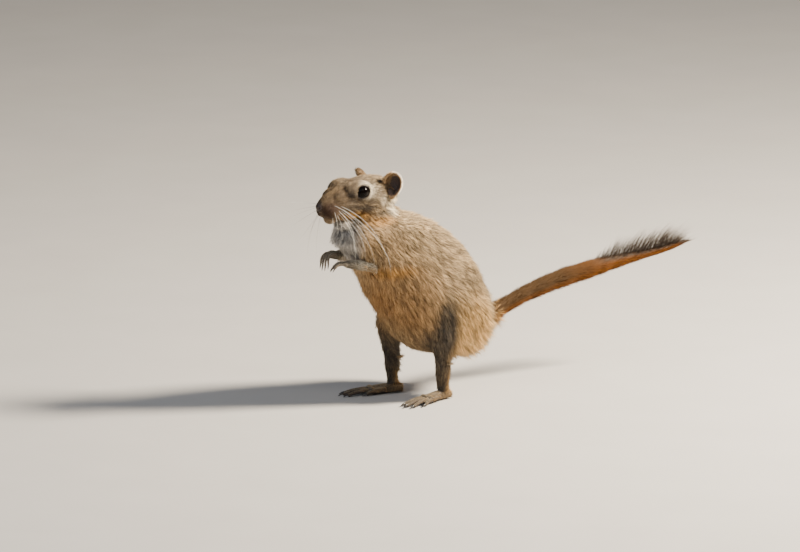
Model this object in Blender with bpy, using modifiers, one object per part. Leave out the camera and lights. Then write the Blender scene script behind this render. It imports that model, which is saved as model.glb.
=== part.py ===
"""Great gerbil standing upright on its hind feet, as a still, life-size model.

Metres, +Z up. The animal faces -X with its left side towards -Y, and it
stands on the floor at Z = 0. The solids reach out to the tips of the coat.
Each named part is its own closed object, parted from the next by a thin gap.
"""

import math
import random

import bmesh
import bpy
from mathutils import Matrix, Vector

MM = 0.001
GAP = 0.3 * MM
SIDES = {"left": -1, "right": 1}

# Middle of the whole outline along X, from the claws' tips to the tail's last hair
MIDDLE_X = 94.6 * MM

# Trunk, from the nape to the rump: back line point, belly line point (each
# X, Z) and half width, all in millimetres
NECK_STATIONS = [
    ((6, 142), (-14, 129), 10.0),
    ((11, 135), (-29, 125), 14.5),
    ((18, 129), (-33, 112), 18.5),
]
TRUNK_STATIONS = [
    ((30, 125), (-22, 101), 22.0),
    ((42, 119), (-13, 88), 25.0),
    ((54, 111), (-6, 74), 28.5),
    ((65, 101), (2, 62), 30.5),
    ((74, 89), (10, 51), 31.5),
    ((81, 76), (17, 42), 32.0),
    ((87, 63), (27, 34), 31.0),
    ((90, 52), (39, 30), 27.0),
    ((90, 42), (52, 29), 20.0),
    ((84, 35), (66, 31), 10.0),
]
TRUNK_SEGMENTS = 28

# Cuts across the trunk that part one node from the next: back and belly point
HEAD_JOINT = ((11, 134), (-31, 123))
NECK_JOINT = ((25, 127), (-30, 105))
CHEST_JOINT = ((58, 108), (-8, 79))
BELLY_JOINT = ((87, 64), (24, 36))

# Ball-shaped zones of the coat that belong to the shoulder and the thigh:
# centre (X, Y outwards, Z) and radii
SHOULDER_ZONE = ((4, 25, 97), (20, 13, 22))
THIGH_ZONE = ((53, 34, 46), (29, 20, 31))

# Head, in its own frame: forward from the ears, then up from the middle
HEAD_PLACE = Vector((-1.6, 0.0, 142.0)) * MM
HEAD_TURN = math.radians(6)
HEAD_PITCH = math.radians(-2)
HEAD_ROLL = math.radians(3)
HEAD_STATIONS = [
    # forward, half width, top, bottom (millimetres)
    (-13.5, 6.0, 4.0, -8.0),
    (-10.0, 11.5, 8.0, -12.0),
    (-4.0, 14.8, 11.2, -14.0),
    (4.0, 15.4, 12.4, -14.6),
    (12.0, 14.8, 12.6, -14.8),
    (20.0, 13.8, 12.0, -14.8),
    (27.0, 11.8, 10.6, -14.4),
    (34.0, 9.3, 8.2, -13.4),
    (41.0, 7.0, 5.2, -11.4),
    (45.5, 4.6, 2.2, -8.4),
]
EYE_FORWARD = 19.6 * MM
EYE_OUT = 11.4 * MM
EYE_UP = 4.8 * MM
EYE_RADIUS = 4.9 * MM
EYE_GAZE = (0.30, 0.92, 0.12)
SOCKET_STRETCH = 2.0 * MM

# Rounded forms of the head: place (forward, outwards, up) and three radii
NOSE = ((45.8, 0, -2.2), (3.2, 3.4, 3.6))
CHIN = ((38.5, 0, -11.0), (4.6, 4.2, 3.8))
BROW = ((20.6, 8.6, 5.6), (11.0, 6.4, 6.6))
CHEEK = ((10.0, 8.8, -5.8), (11.0, 7.8, 8.8))
WHISKER_PAD = ((39.0, 4.4, -5.8), (6.2, 4.6, 5.0))
NOSTRIL = ((48.3, 1.9, -2.4), (1.5, 0.75, 0.95))

# Lids: distance along the gaze, half width, half height and thickness
LID_OUT, LID_HALF_WIDTH, LID_HALF_HEIGHT, LID_THICKNESS = 2.0, 5.0, 4.6, 1.1

# Mouth line: from its corner to beyond the chin, its height at the corner,
# how much it rises and how wide the cut is
MOUTH_CORNER, MOUTH_END, MOUTH_HEIGHT, MOUTH_RISE, LINE_WIDTH = 34.5, 50.0, -10.8, 3.0, 0.5
LINE_DEPTH = 0.9 * MM

EAR_BACK = -3.0 * MM
EAR_OUT = 15.5 * MM
EAR_UP = 6.5 * MM
EAR_HEIGHT = 17.0 * MM
EAR_WIDTH = 13.5 * MM
EAR_DEPTH = 3.8 * MM
EAR_WALL = 1.0 * MM
EAR_YAW = 42
# How far each ear leans outwards and backwards, in degrees
EAR_LEAN = {"left": (16, 14), "right": (40, 6)}

# Hind legs: heel and longest toe tip on the floor (X, and Y outwards)
LEGS = {
    "left": {"heel": (51, 14), "toe": (9, 24), "knee": (37, 24, 47)},
    "right": {"heel": (35, 17), "toe": (-7, 28), "knee": (27, 25, 48)},
}
THIGH = ((54, 22, 51), (24, 12, 24))
SHOULDER = ((3, 16, 99), (14, 9, 16))
KNEE_RADII = (9, 8, 11)
SHANK_RADII = (9.5, 5.6, 4.2)
ANKLE_HEIGHT = 9.0 * MM
SHANK_TOP = 26.0 * MM
TAIL_ROOT_RADII = (9.0, 6.2, 5.4, 5.6)
# Sole: place (forward of the heel, outwards, height) and radius; then its pad
SOLE = [((2.5, 0, 3.4), 3.6), ((9, 0, 3.6), 3.9), ((18, 0, 3.2), 3.5), ((27, 0, 2.6), 3.3)]
PAD = ((25.5, 0.3, 2.3), (5.5, 4.9, 2.6))
TOE_RADII = (1.9, 1.7, 1.45)
# Hind toes from the inner to the outer one, in millimetres: place across the
# foot, root forward of the heel, length and splay
HIND_TOES = [
    (-4.6, 20.0, 9.0, -1.2),
    (-3.3, 27.0, 14.5, -0.9),
    (0.0, 28.0, 15.5, 0.0),
    (3.3, 27.0, 14.5, 0.9),
    (5.0, 21.0, 12.0, 1.6),
]

# Forelegs: elbow, wrist, knuckles and tip of the longest finger (X, Y outwards, Z)
ARMS = {
    "left": {
        "elbow": (1, 19, 94), "wrist": (-20.5, 9, 97), "knuckles": (-28.5, 5, 98), "tip": (-36, 3, 96),
    },
    "right": {
        "elbow": (0, 19, 97), "wrist": (-24, 9, 101), "knuckles": (-33, 7.5, 103), "tip": (-37, 6.5, 96),
    },
}
WRIST_RADIUS = 3.1 * MM
ELBOW_RADIUS = 4.6 * MM
PALM_RADII = (6.0, 3.9, 2.8)
FINGER_RADII = (1.5, 1.3, 1.1)
# Fingers: place across the hand (outwards), share of the longest one
FINGERS = [(-3.0, 0.80), (-1.1, 0.97), (1.0, 1.0), (3.1, 0.85)]

# Claws: thickness, length past the toe's end and rise of the bend
HIND_CLAW = (0.85, 4.2, 0.55)
FORE_CLAW = (0.62, 2.6, 0.35)

# Even skin round each group of shapes: grid size, triangles, rounds of smoothing
SKINS = {
    "head": (0.6 * MM, 1900, 8),
    "trunk": (1.2 * MM, 2200, 14),
    "foot": (0.5 * MM, 640, 3),
    "hand": (0.45 * MM, 400, 2),
}
HEAD_TRIANGLES = 1700

# Tail: middle line points (X, Y, Z) and radii with the coat, in millimetres
TAIL_POINTS = [
    ((84, 0, 47), 7.0), ((97, -1, 52), 5.4), ((112, -3.2, 58.5), 5.5), ((126, -5.1, 63.4), 6.0),
    ((143, -7.6, 68.2), 6.3), ((160, -10.1, 71.8), 5.9), ((171, -11.7, 74.0), 5.2),
    ((185, -13.7, 76.4), 4.3), ((200, -16, 78.5), 3.2), ((217, -18.5, 81), 2.3),
    ((229, -20.1, 84), 1.0),
]
TAIL_CUTS = (0.10, 0.32, 0.54)

# Crest of long dark hair on the last part of the tail: its first and last
# share of the tail, and how high the tips stand over the middle line
CREST_START, CREST_END = 0.56, 0.99
CREST_TOP = 16.5 * MM
CREST_SWEEP = (7.0 * MM, 14.0 * MM)
LOCK_TAPER = (0.9, 1.0, 0.86, 0.12)
CREST_LOCKS = 28
CREST_SEED = 11
LOCK_WIDTH, LOCK_THICKNESS, LOCK_LEAN = 2.5 * MM, 1.3 * MM, 1.0 * MM


def workshop_object(mesh, name="shape"):
    """A helper object that the renderer never shows."""
    helper = bpy.data.objects.new(name, mesh)
    helper.hide_render = True
    helper.display_type = "WIRE"
    bpy.data.collections["cutters"].objects.link(helper)
    return helper


def evaluated(helper):
    """The helper's mesh with its modifiers applied; the helper is removed."""
    graph = bpy.context.evaluated_depsgraph_get()
    mesh = bpy.data.meshes.new_from_object(helper.evaluated_get(graph))
    bpy.data.objects.remove(helper)
    return mesh


def finished(shape):
    """A mesh made from a bmesh, which is freed."""
    mesh = bpy.data.meshes.new("shape")
    shape.to_mesh(mesh)
    shape.free()
    return mesh


def ellipsoid(centre, radii, turn=None, segments=24, rings=14):
    """A ball scaled to three radii, turned and set in place."""
    shape = bmesh.new()
    bmesh.ops.create_uvsphere(shape, u_segments=segments, v_segments=rings, radius=1.0)
    place = Matrix.Translation(centre) @ (turn or Matrix.Identity(4))
    shape.transform(place @ Matrix.Diagonal((*radii, 1.0)))
    return finished(shape)


def smooth_path(points, radii, steps):
    """Points and radii on a smooth curve through the given ones."""
    path = []
    last = len(points) - 1
    for index in range(last):
        before = points[max(index - 1, 0)]
        start, end = points[index], points[index + 1]
        after = points[min(index + 2, last)]
        for step in range(steps):
            t = step / steps
            bend = (
                start * 2 + (end - before) * t
                + (before * 2 - start * 5 + end * 4 - after) * t ** 2
                + (start * 3 - before - end * 3 + after) * t ** 3
            )
            path.append((bend / 2, radii[index] * (1 - t) + radii[index + 1] * t))
    path.append((points[last], radii[last]))
    return path


def tube(points, radii, steps=4, resolution=3):
    """A closed tube of changing radius through the given points."""
    curve = bpy.data.curves.new("tube", "CURVE")
    curve.dimensions = "3D"
    curve.bevel_depth = 1.0
    curve.bevel_resolution = resolution
    curve.use_fill_caps = True
    path = smooth_path([Vector(point) for point in points], radii, steps)
    spline = curve.splines.new("POLY")
    spline.points.add(len(path) - 1)
    for knot, (place, radius) in zip(spline.points, path):
        knot.co = (*place, 1.0)
        knot.radius = radius
    mesh = evaluated(workshop_object(curve))
    bpy.data.curves.remove(curve)
    shape = bmesh.new()
    shape.from_mesh(mesh)
    bmesh.ops.remove_doubles(shape, verts=shape.verts, dist=0.01 * MM)
    bmesh.ops.recalc_face_normals(shape, faces=shape.faces)
    return finished(shape)


def loft(rings):
    """A closed skin over rings that have the same number of points."""
    shape = bmesh.new()
    rows = [[shape.verts.new(point) for point in ring] for ring in rings]
    count = len(rows[0])
    for row, following in zip(rows, rows[1:]):
        for index in range(count):
            after = (index + 1) % count
            shape.faces.new((row[index], row[after], following[after], following[index]))
    shape.faces.new(rows[0][::-1])
    shape.faces.new(rows[-1])
    bmesh.ops.recalc_face_normals(shape, faces=shape.faces)
    bmesh.ops.triangulate(shape, faces=shape.faces)
    return finished(shape)


def trunk_ring(station):
    """An oval ring from its back point, belly point and half width."""
    back, belly, half_width = station
    top = Vector((back[0], 0, back[1])) * MM
    bottom = Vector((belly[0], 0, belly[1])) * MM
    centre, reach = (top + bottom) / 2, (top - bottom) / 2
    ring = []
    for index in range(TRUNK_SEGMENTS):
        angle = math.tau * index / TRUNK_SEGMENTS
        fullness = 1.0 - 0.10 * math.cos(angle)
        side = Vector((0, half_width * MM * math.sin(angle) * fullness, 0))
        ring.append(centre + reach * math.cos(angle) + side)
    return ring


def head_matrix():
    """From the head's frame (forward, left, up) to the model's."""
    forward_left_up = Matrix(((-1, 0, 0, 0), (0, -1, 0, 0), (0, 0, 1, 0), (0, 0, 0, 1)))
    turn = Matrix.Rotation(HEAD_TURN, 4, "Z")
    pitch = Matrix.Rotation(-HEAD_PITCH, 4, "Y")
    roll = Matrix.Rotation(HEAD_ROLL, 4, "X")
    return Matrix.Translation(HEAD_PLACE) @ forward_left_up @ turn @ pitch @ roll


def head_point(forward, left, up):
    """A place on the head, given in millimetres in the head's frame."""
    return head_matrix() @ (Vector((forward, left, up)) * MM)


def head_ball(form, left, segments=24, rings=14):
    """A rounded form of the head; left is 1 on the left and -1 on the right."""
    (forward, outwards, up), radii = form
    centre = Vector((forward, outwards * left, up)) * MM
    mesh = ellipsoid(centre, Vector(radii) * MM, None, segments, rings)
    mesh.transform(head_matrix())
    return mesh


def fuse(pieces, kind):
    """One even closed skin round all the pieces, thinned to a triangle count."""
    voxel, triangles, smoothing = SKINS[kind]
    shape = bmesh.new()
    for piece in pieces:
        shape.from_mesh(piece)
    helper = workshop_object(finished(shape))
    remesh = helper.modifiers.new("fuse", "REMESH")
    remesh.mode = "VOXEL"
    remesh.voxel_size = voxel
    soften = helper.modifiers.new("soften", "SMOOTH")
    soften.factor = 0.5
    soften.iterations = smoothing
    mesh = evaluated(helper)
    return thin_out(mesh, triangles)


def triangle_count(mesh):
    """How many triangles the mesh's faces hold."""
    return sum(len(face.vertices) - 2 for face in mesh.polygons)


def thin_out(mesh, triangles):
    """The same form with about the given number of triangles."""
    helper = workshop_object(mesh)
    thin = helper.modifiers.new("thin", "DECIMATE")
    thin.ratio = min(1.0, triangles / triangle_count(mesh))
    thin.use_collapse_triangulate = True
    return evaluated(helper)


def plane_cut(mesh, point, outwards):
    """The part of a closed mesh behind a plane, with a flat cap on the cut."""
    shape = bmesh.new()
    shape.from_mesh(mesh)
    everything = shape.verts[:] + shape.edges[:] + shape.faces[:]
    bmesh.ops.bisect_plane(
        shape, geom=everything, dist=0.001 * MM, plane_co=point, plane_no=outwards, clear_outer=True
    )
    rims = [edge for edge in shape.edges if edge.is_boundary]
    bmesh.ops.holes_fill(shape, edges=rims, sides=0)
    bmesh.ops.triangulate(shape, faces=[face for face in shape.faces if len(face.verts) > 3])
    return finished(shape)


def boolean(mesh, other, operation, solver="EXACT"):
    """The mesh joined with, cut by or limited to another one."""
    helper = workshop_object(mesh.copy())
    cutter = workshop_object(other.copy(), "cutter")
    step = helper.modifiers.new("boolean", "BOOLEAN")
    step.operation = operation
    step.solver = solver
    step.object = cutter
    result = evaluated(helper)
    bpy.data.objects.remove(cutter)
    return largest_body(result)


def largest_body(mesh):
    """The largest closed surface of a mesh, with doubled points merged."""
    shape = bmesh.new()
    shape.from_mesh(mesh)
    bmesh.ops.remove_doubles(shape, verts=shape.verts, dist=0.002 * MM)
    bmesh.ops.triangulate(shape, faces=shape.faces)
    remaining = set(shape.verts)
    islands = []
    while remaining:
        front = [remaining.pop()]
        island = set(front)
        while front:
            vertex = front.pop()
            for edge in vertex.link_edges:
                far = edge.other_vert(vertex)
                if far not in island:
                    island.add(far)
                    front.append(far)
        remaining -= island
        islands.append(island)
    islands.sort(key=enclosed_volume, reverse=True)
    scraps = [vertex for island in islands[1:] for vertex in island]
    bmesh.ops.delete(shape, geom=scraps, context="VERTS")
    return finished(shape)


def enclosed_volume(island):
    """The volume inside one closed island of points."""
    total = 0.0
    for face in {face for vertex in island for face in vertex.link_faces}:
        first, second, third = (vertex.co for vertex in face.verts)
        total += first.dot(second.cross(third)) / 6
    return total


def swollen(mesh, distance=GAP):
    """A copy of the mesh grown outwards by a distance."""
    grown = mesh.copy()
    normals = [vertex.normal.copy() for vertex in grown.vertices]
    for vertex, normal in zip(grown.vertices, normals):
        vertex.co += normal * distance
    return grown


def clear_of(mesh, neighbour):
    """The mesh cut back to keep the thin gap to its neighbour."""
    return boolean(mesh, swollen(neighbour), "DIFFERENCE")


def outwards_place(values, side):
    """A point whose middle value is measured outwards on one side."""
    along, outward, height = values
    return Vector((along, outward * SIDES[side], height)) * MM


def coat_material(name, colour, roughness):
    """A plain principled finish for one part."""
    material = bpy.data.materials.new(name)
    material.use_nodes = True
    shader = material.node_tree.nodes["Principled BSDF"]
    shader.inputs["Base Color"].default_value = (*colour, 1.0)
    shader.inputs["Roughness"].default_value = roughness
    material.diffuse_color = (*colour, 1.0)
    return material


BUFF = (0.50, 0.36, 0.20)
CREAM = (0.72, 0.62, 0.48)
RUST = (0.60, 0.27, 0.07)
GREY_BUFF = (0.38, 0.31, 0.22)
BLACK = (0.012, 0.011, 0.010)


def add_part(name, mesh, colour, roughness=0.85):
    """A named part of the model with its own finish."""
    mesh.name = name
    mesh.materials.clear()
    mesh.materials.append(coat_material(name, colour, roughness))
    mesh.shade_smooth()
    mesh.set_sharp_from_angle(angle=math.radians(50))
    part = bpy.data.objects.new(name, mesh)
    bpy.data.collections["great_gerbil"].objects.link(part)
    return part


def foot_frame(side):
    """Heel, forward direction and outward direction of one hind foot."""
    heel = Vector((LEGS[side]["heel"][0], LEGS[side]["heel"][1] * SIDES[side], 0)) * MM
    toe = Vector((LEGS[side]["toe"][0], LEGS[side]["toe"][1] * SIDES[side], 0)) * MM
    forward = (toe - heel).normalized()
    outward = Vector((-forward.y, forward.x, 0)) * SIDES[side] * -1
    return heel, forward, outward, (toe - heel).length


def foot_place(side, forward_mm, outward_mm, height_mm):
    """A place on a hind foot, measured from its heel."""
    heel, forward, outward, _ = foot_frame(side)
    return heel + (forward * forward_mm + outward * outward_mm + Vector((0, 0, height_mm))) * MM


def trunk_shapes():
    """The loose shapes that make up the trunk with its limbs' roots."""
    shapes = [loft([trunk_ring(station) for station in NECK_STATIONS + TRUNK_STATIONS])]
    for side in SIDES:
        for place, radii in (THIGH, SHOULDER, (LEGS[side]["knee"], KNEE_RADII)):
            shapes.append(ellipsoid(outwards_place(place, side), Vector(radii) * MM))
        shapes.append(shank_shape(side))
    root = [Vector(point) * MM for point, _ in TAIL_POINTS[:len(TAIL_ROOT_RADII)]]
    shapes.append(tube(root, [radius * MM for radius in TAIL_ROOT_RADII]))
    return shapes


def shank_shape(side):
    """The lower leg from the knee to the ankle."""
    knee = outwards_place(LEGS[side]["knee"], side)
    ankle = foot_place(side, 8.5, 0, 7)
    middle = knee.lerp(ankle, 0.55)
    return tube([knee, middle, ankle], [radius * MM for radius in SHANK_RADII])


def head_shapes():
    """The loose shapes of the head."""
    rings = []
    for forward, half_width, top, bottom in HEAD_STATIONS:
        middle, reach = (top + bottom) / 2, (top - bottom) / 2
        ring = []
        for index in range(24):
            angle = math.tau * index / 24
            across = half_width * math.sin(angle) * (1 + 0.04 * math.cos(angle))
            ring.append(head_point(forward, across, middle + reach * math.cos(angle)))
        rings.append(ring)
    shapes = [loft(rings), head_ball(NOSE, 1), head_ball(CHIN, 1)]
    for left in (-1, 1):
        shapes.extend(head_ball(form, left) for form in (BROW, CHEEK, WHISKER_PAD))
    return shapes


def eye_centre(left):
    """The middle of one eyeball; left is 1 on the left and -1 on the right."""
    return head_matrix() @ Vector((EYE_FORWARD, EYE_OUT * left, EYE_UP))


def gaze(left):
    """The direction an eye looks in, in the head's frame."""
    ahead, outwards, up = EYE_GAZE
    return Vector((ahead, outwards * left, up)).normalized()


def opening_shape(left):
    """The opening between the lids, drawn out along the gaze."""
    radius = EYE_RADIUS + GAP
    turn = gaze(left).to_track_quat("X", "Z").to_matrix().to_4x4()
    centre = Vector((EYE_FORWARD, EYE_OUT * left, EYE_UP)) + gaze(left) * SOCKET_STRETCH
    mesh = ellipsoid(centre, (radius + SOCKET_STRETCH, radius, radius), turn, 16, 10)
    mesh.transform(head_matrix())
    return mesh


def lid_shape(left):
    """A rounded rim round the eye that the lids make."""
    look = gaze(left)
    lift = Vector((0, 0, 1))
    side = look.cross(lift).normalized()
    rim = []
    for index in range(17):
        angle = math.tau * index / 16
        reach = side * math.cos(angle) * LID_HALF_WIDTH + lift * math.sin(angle) * LID_HALF_HEIGHT
        rim.append(Vector((EYE_FORWARD, EYE_OUT * left, EYE_UP)) + (look * LID_OUT + reach) * MM)
    mesh = tube(rim, [LID_THICKNESS * MM] * len(rim), steps=1, resolution=2)
    mesh.transform(head_matrix())
    return mesh


def lip_blade():
    """A thin curved sheet along the line between upper lip and lower jaw."""
    rings = []
    for step in range(7):
        share = step / 6
        forward = MOUTH_CORNER + (MOUTH_END - MOUTH_CORNER) * share
        low = MOUTH_HEIGHT + MOUTH_RISE * share ** 1.5 - LINE_WIDTH / 2
        high = low + LINE_WIDTH
        ring = [(-12, low), (12, low), (12, high), (-12, high)]
        rings.append([head_point(forward, left, up) for left, up in ring])
    return loft(rings)


def philtrum_blade():
    """A thin upright sheet between the nose pad and the mouth."""
    low, high, half = MOUTH_HEIGHT + MOUTH_RISE * 0.6, NOSE[0][2] - 2.4, LINE_WIDTH / 2.4
    corners = [(-half, low), (half, low), (half, high), (-half, high)]
    ends = (MOUTH_END - 8.0, MOUTH_END + 2.0)
    return loft([[head_point(forward, left, up) for left, up in corners] for forward in ends])


def build_head():
    """Head with eye sockets, lids, nostrils and mouth line."""
    shapes = head_shapes() + [lid_shape(1), lid_shape(-1)]
    shapes.append(loft([trunk_ring(station) for station in NECK_STATIONS + TRUNK_STATIONS[:1]]))
    head = fuse(shapes, "head")
    head = plane_cut(head, *joint(HEAD_JOINT, 0.0))
    core = swollen(thin_out(head.copy(), HEAD_TRIANGLES / 4), -LINE_DEPTH)
    for blade in (lip_blade(), philtrum_blade()):
        head = boolean(head, boolean(blade, core, "DIFFERENCE"), "DIFFERENCE")
    head = thin_out(head, HEAD_TRIANGLES)
    for left in (-1, 1):
        nostril = head_ball(NOSTRIL, left, segments=8, rings=6)
        socket = ellipsoid(eye_centre(left), [EYE_RADIUS + GAP] * 3, segments=16, rings=10)
        for hole in (nostril, socket, opening_shape(left)):
            head = boolean(head, hole, "DIFFERENCE")
    return head


def joint(ends, gap):
    """A point and the downward direction of a cut across the trunk."""
    (back_x, back_z), (belly_x, belly_z) = ends
    back, belly = Vector((back_x, 0, back_z)) * MM, Vector((belly_x, 0, belly_z)) * MM
    across = (back - belly).normalized()
    downwards = Vector((across.z, 0, -across.x))
    return back + downwards * gap, downwards


def stretch(mesh, upper, lower):
    """The part of the trunk between two of its cuts."""
    if upper:
        point, downwards = joint(upper, GAP)
        mesh = plane_cut(mesh, point, -downwards)
    if lower:
        mesh = plane_cut(mesh, *joint(lower, 0.0))
    return mesh


def zone(values, side, growth=0.0):
    """The ball that parts a shoulder or a thigh from the trunk."""
    centre, radii = values
    return ellipsoid(
        outwards_place(centre, side), [radius * MM + growth for radius in radii], segments=18, rings=12
    )


def ear_shape(side):
    """A thin rounded cup that opens forwards and outwards."""
    left = -SIDES[side]
    half_height, half_width = EAR_HEIGHT / 2, EAR_WIDTH / 2
    outer = ellipsoid(Vector((0, 0, 0)), (EAR_DEPTH, half_width, half_height), segments=16, rings=10)
    hollow_radii = (EAR_DEPTH * 1.2, half_width - EAR_WALL, half_height - EAR_WALL)
    hollow = ellipsoid(Vector((2.4, 0, 0.8)) * MM, hollow_radii, segments=16, rings=10)
    cup = boolean(outer, hollow, "DIFFERENCE")
    root = ellipsoid(Vector((-0.6, 0, -6.5)) * MM, Vector((3.2, 4.2, 4.0)) * MM, segments=12, rings=8)
    cup = boolean(cup, root, "UNION")
    yaw = Matrix.Rotation(math.radians(EAR_YAW) * left, 4, "Z")
    out, back = EAR_LEAN[side]
    lean_out = Matrix.Rotation(-math.radians(out) * left, 4, "X")
    lean_back = Matrix.Rotation(-math.radians(back), 4, "Y")
    place = Matrix.Translation(Vector((EAR_BACK, EAR_OUT * left, EAR_UP)))
    cup.transform(head_matrix() @ place @ lean_out @ lean_back @ yaw)
    return cup


def hind_foot_shapes(side):
    """Heel, sole and toes of a hind foot."""
    shapes = [
        tube([foot_place(side, *point) for point, _ in SOLE], [radius * MM for _, radius in SOLE]),
        ellipsoid(foot_place(side, *PAD[0]), Vector(PAD[1]) * MM),
        shank_shape(side),
    ]
    for outward, start, length, splay in HIND_TOES:
        base = foot_place(side, start, outward * 0.75, 2.6)
        knuckle = foot_place(side, start + length * 0.5, outward, 2.9)
        tip = foot_place(side, start + length, outward + splay, 1.4)
        radii = [radius * MM for radius in TOE_RADII]
        shapes.append(tube([base, knuckle, tip], radii, steps=3, resolution=2))
    return shapes


def build_hind_foot(side):
    """A hind foot with flat pads on the floor, cut at the ankle."""
    foot = fuse(hind_foot_shapes(side), "foot")
    foot = plane_cut(foot, Vector((0, 0, ANKLE_HEIGHT)), Vector((0, 0, 1)))
    return plane_cut(foot, Vector((0, 0, 0)), Vector((0, 0, -1)))


def claw(root, tip, radius, lift):
    """A short bent claw from the toe's end to its point."""
    middle = root.lerp(tip, 0.5) + Vector((0, 0, lift))
    return tube([root, middle, tip], [radius, radius * 0.8, radius * 0.22], steps=1, resolution=1)


def hind_claws(side):
    """The claws of a hind foot, from the inner toe to the outer one."""
    claws = []
    thickness, length_past, rise = HIND_CLAW
    for outward, start, length, splay in HIND_TOES:
        reach = start + length
        root = foot_place(side, reach - 0.6, outward + splay, 1.9)
        tip = foot_place(side, reach + length_past, outward + splay * 1.5, 0.55)
        claws.append(claw(root, tip, thickness * MM, rise * MM))
    return claws


def hand_frame(side):
    """Wrist, knuckles, finger tip and the direction across a hand."""
    wrist, knuckles, tip = (outwards_place(ARMS[side][key], side) for key in ("wrist", "knuckles", "tip"))
    along = (knuckles - wrist).normalized()
    across = Vector((0, 0, 1)).cross(along).normalized() * -SIDES[side]
    return wrist, knuckles, tip, along, across


def finger_points(side, place, share):
    """Knuckle, middle joint and tip of one finger."""
    wrist, knuckles, tip, along, across = hand_frame(side)
    spread = across * place * MM
    start = knuckles + spread * 0.9 - along * 1.0 * MM
    end = knuckles + (tip - knuckles) * share + spread * 1.15
    middle = start.lerp(end, 0.5) + along * 1.2 * MM + Vector((0, 0, 0.8 * MM))
    return [start, middle, end]


def build_hand(side):
    """A forepaw with four bent fingers, cut at the wrist."""
    wrist, knuckles, tip, along, across = hand_frame(side)
    elbow = outwards_place(ARMS[side]["elbow"], side)
    palm = (wrist + knuckles) / 2
    turn = along.to_track_quat("X", "Z").to_matrix().to_4x4()
    shapes = [
        ellipsoid(palm, Vector(PALM_RADII) * MM, turn),
        tube([elbow, wrist, palm], [ELBOW_RADIUS, WRIST_RADIUS, PALM_RADII[2] * MM]),
    ]
    for place, share in FINGERS:
        radii = [radius * MM for radius in FINGER_RADII]
        shapes.append(tube(finger_points(side, place, share), radii, steps=3, resolution=2))
    hand = fuse(shapes, "hand")
    return largest_body(plane_cut(hand, wrist, (elbow - wrist).normalized()))


def hand_claws(side):
    """The claws of a forepaw, from the inner finger to the outer one."""
    claws = []
    thickness, length_past, rise = FORE_CLAW
    for place, share in FINGERS:
        _, middle, end = finger_points(side, place, share)
        onwards = (end - middle).normalized()
        tip = end + (onwards * length_past - Vector((0, 0, length_past / 2))) * MM
        claws.append(claw(end + onwards * 0.3 * MM, tip, thickness * MM, rise * MM))
    return claws


def build_forearm(side, neighbours):
    """The lower foreleg from the coat to the wrist."""
    elbow, wrist = (outwards_place(ARMS[side][key], side) for key in ("elbow", "wrist"))
    wristwards = (wrist - elbow).normalized()
    forearm = tube([elbow, wrist + wristwards * 2 * MM], [ELBOW_RADIUS, WRIST_RADIUS], steps=3)
    forearm = plane_cut(forearm, wrist - wristwards * GAP, wristwards)
    for neighbour in neighbours:
        forearm = clear_of(forearm, neighbour)
    return forearm


def tail_path():
    """Middle line points and radii along the whole tail."""
    points = [Vector(point) * MM for point, _ in TAIL_POINTS]
    return smooth_path(points, [radius * MM for _, radius in TAIL_POINTS], 6)


def tail_station(share):
    """Middle point, direction and radius at a share of the tail's length."""
    path = tail_path()
    place = share * (len(path) - 1)
    index = min(int(place), len(path) - 2)
    (start, radius), (end, following) = path[index], path[index + 1]
    t = place - index
    return start.lerp(end, t), (end - start).normalized(), radius * (1 - t) + following * t


def tail_frame(share):
    """Middle point, direction, upward direction, sideways direction and radius."""
    centre, along, radius = tail_station(share)
    across = Vector((0, 0, 1)).cross(along).normalized()
    return centre, along, along.cross(across), across, radius


def tail_length(first, last, sides=14):
    """The core of the tail between two shares of its length."""
    rings = []
    for step in range(9):
        centre, _, lift, across, radius = tail_frame(first + (last - first) * step / 8)
        angles = [math.tau * index / sides for index in range(sides)]
        rings.append([centre + (across * math.cos(a) + lift * math.sin(a)) * radius for a in angles])
    mesh = loft(rings)
    if last < 1.0:
        end, along, _ = tail_station(last)
        mesh = plane_cut(mesh, end - along * GAP, along)
    return mesh


def crest_reach(t):
    """Height and backward sweep of the hair tips at a share t of the crest."""
    rise = min(1.0, 0.45 + 2.4 * t) * (1.0 - 0.45 * max(0.0, t - 0.75) / 0.25)
    sweep = CREST_SWEEP[0] + (CREST_SWEEP[1] - CREST_SWEEP[0]) * t
    return CREST_TOP * rise, sweep


def lock(points, flat, widths, thickness):
    """One flat, tapered lock of hair along four points."""
    rings = []
    for index, (place, width) in enumerate(zip(points, widths)):
        along = points[min(index + 1, 3)] - points[max(index - 1, 0)]
        edge = along.cross(flat).normalized() * width * LOCK_WIDTH
        side = flat * thickness * min(1.0, width * 1.4)
        rings.append([place + edge, place + side, place - edge, place - side])
    return loft(rings)


def crest_locks():
    """The crest of long hair as overlapping locks, rooted deep in the tail."""
    wild = random.Random(CREST_SEED)
    locks = []
    for index in range(CREST_LOCKS):
        t = index / (CREST_LOCKS - 1)
        centre, along, lift, across, radius = tail_frame(CREST_START + (CREST_END - CREST_START) * t)
        height, sweep = crest_reach(t)
        height *= wild.uniform(0.86, 1.04)
        sweep *= wild.uniform(0.9, 1.1)
        lean = across * wild.uniform(-1.0, 1.0) * LOCK_LEAN
        root = centre - lift * radius * 0.55
        tip = centre + lift * height + along * sweep + lean
        lower = centre + lift * height * 0.34 + along * sweep * 0.20 + lean * 0.3
        upper = centre + lift * height * 0.72 + along * sweep * 0.58 + lean * 0.7
        thickness = min(radius * 0.5, LOCK_THICKNESS)
        locks.append(lock([root, lower, upper, tip], across, LOCK_TAPER, thickness))
    return locks


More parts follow.
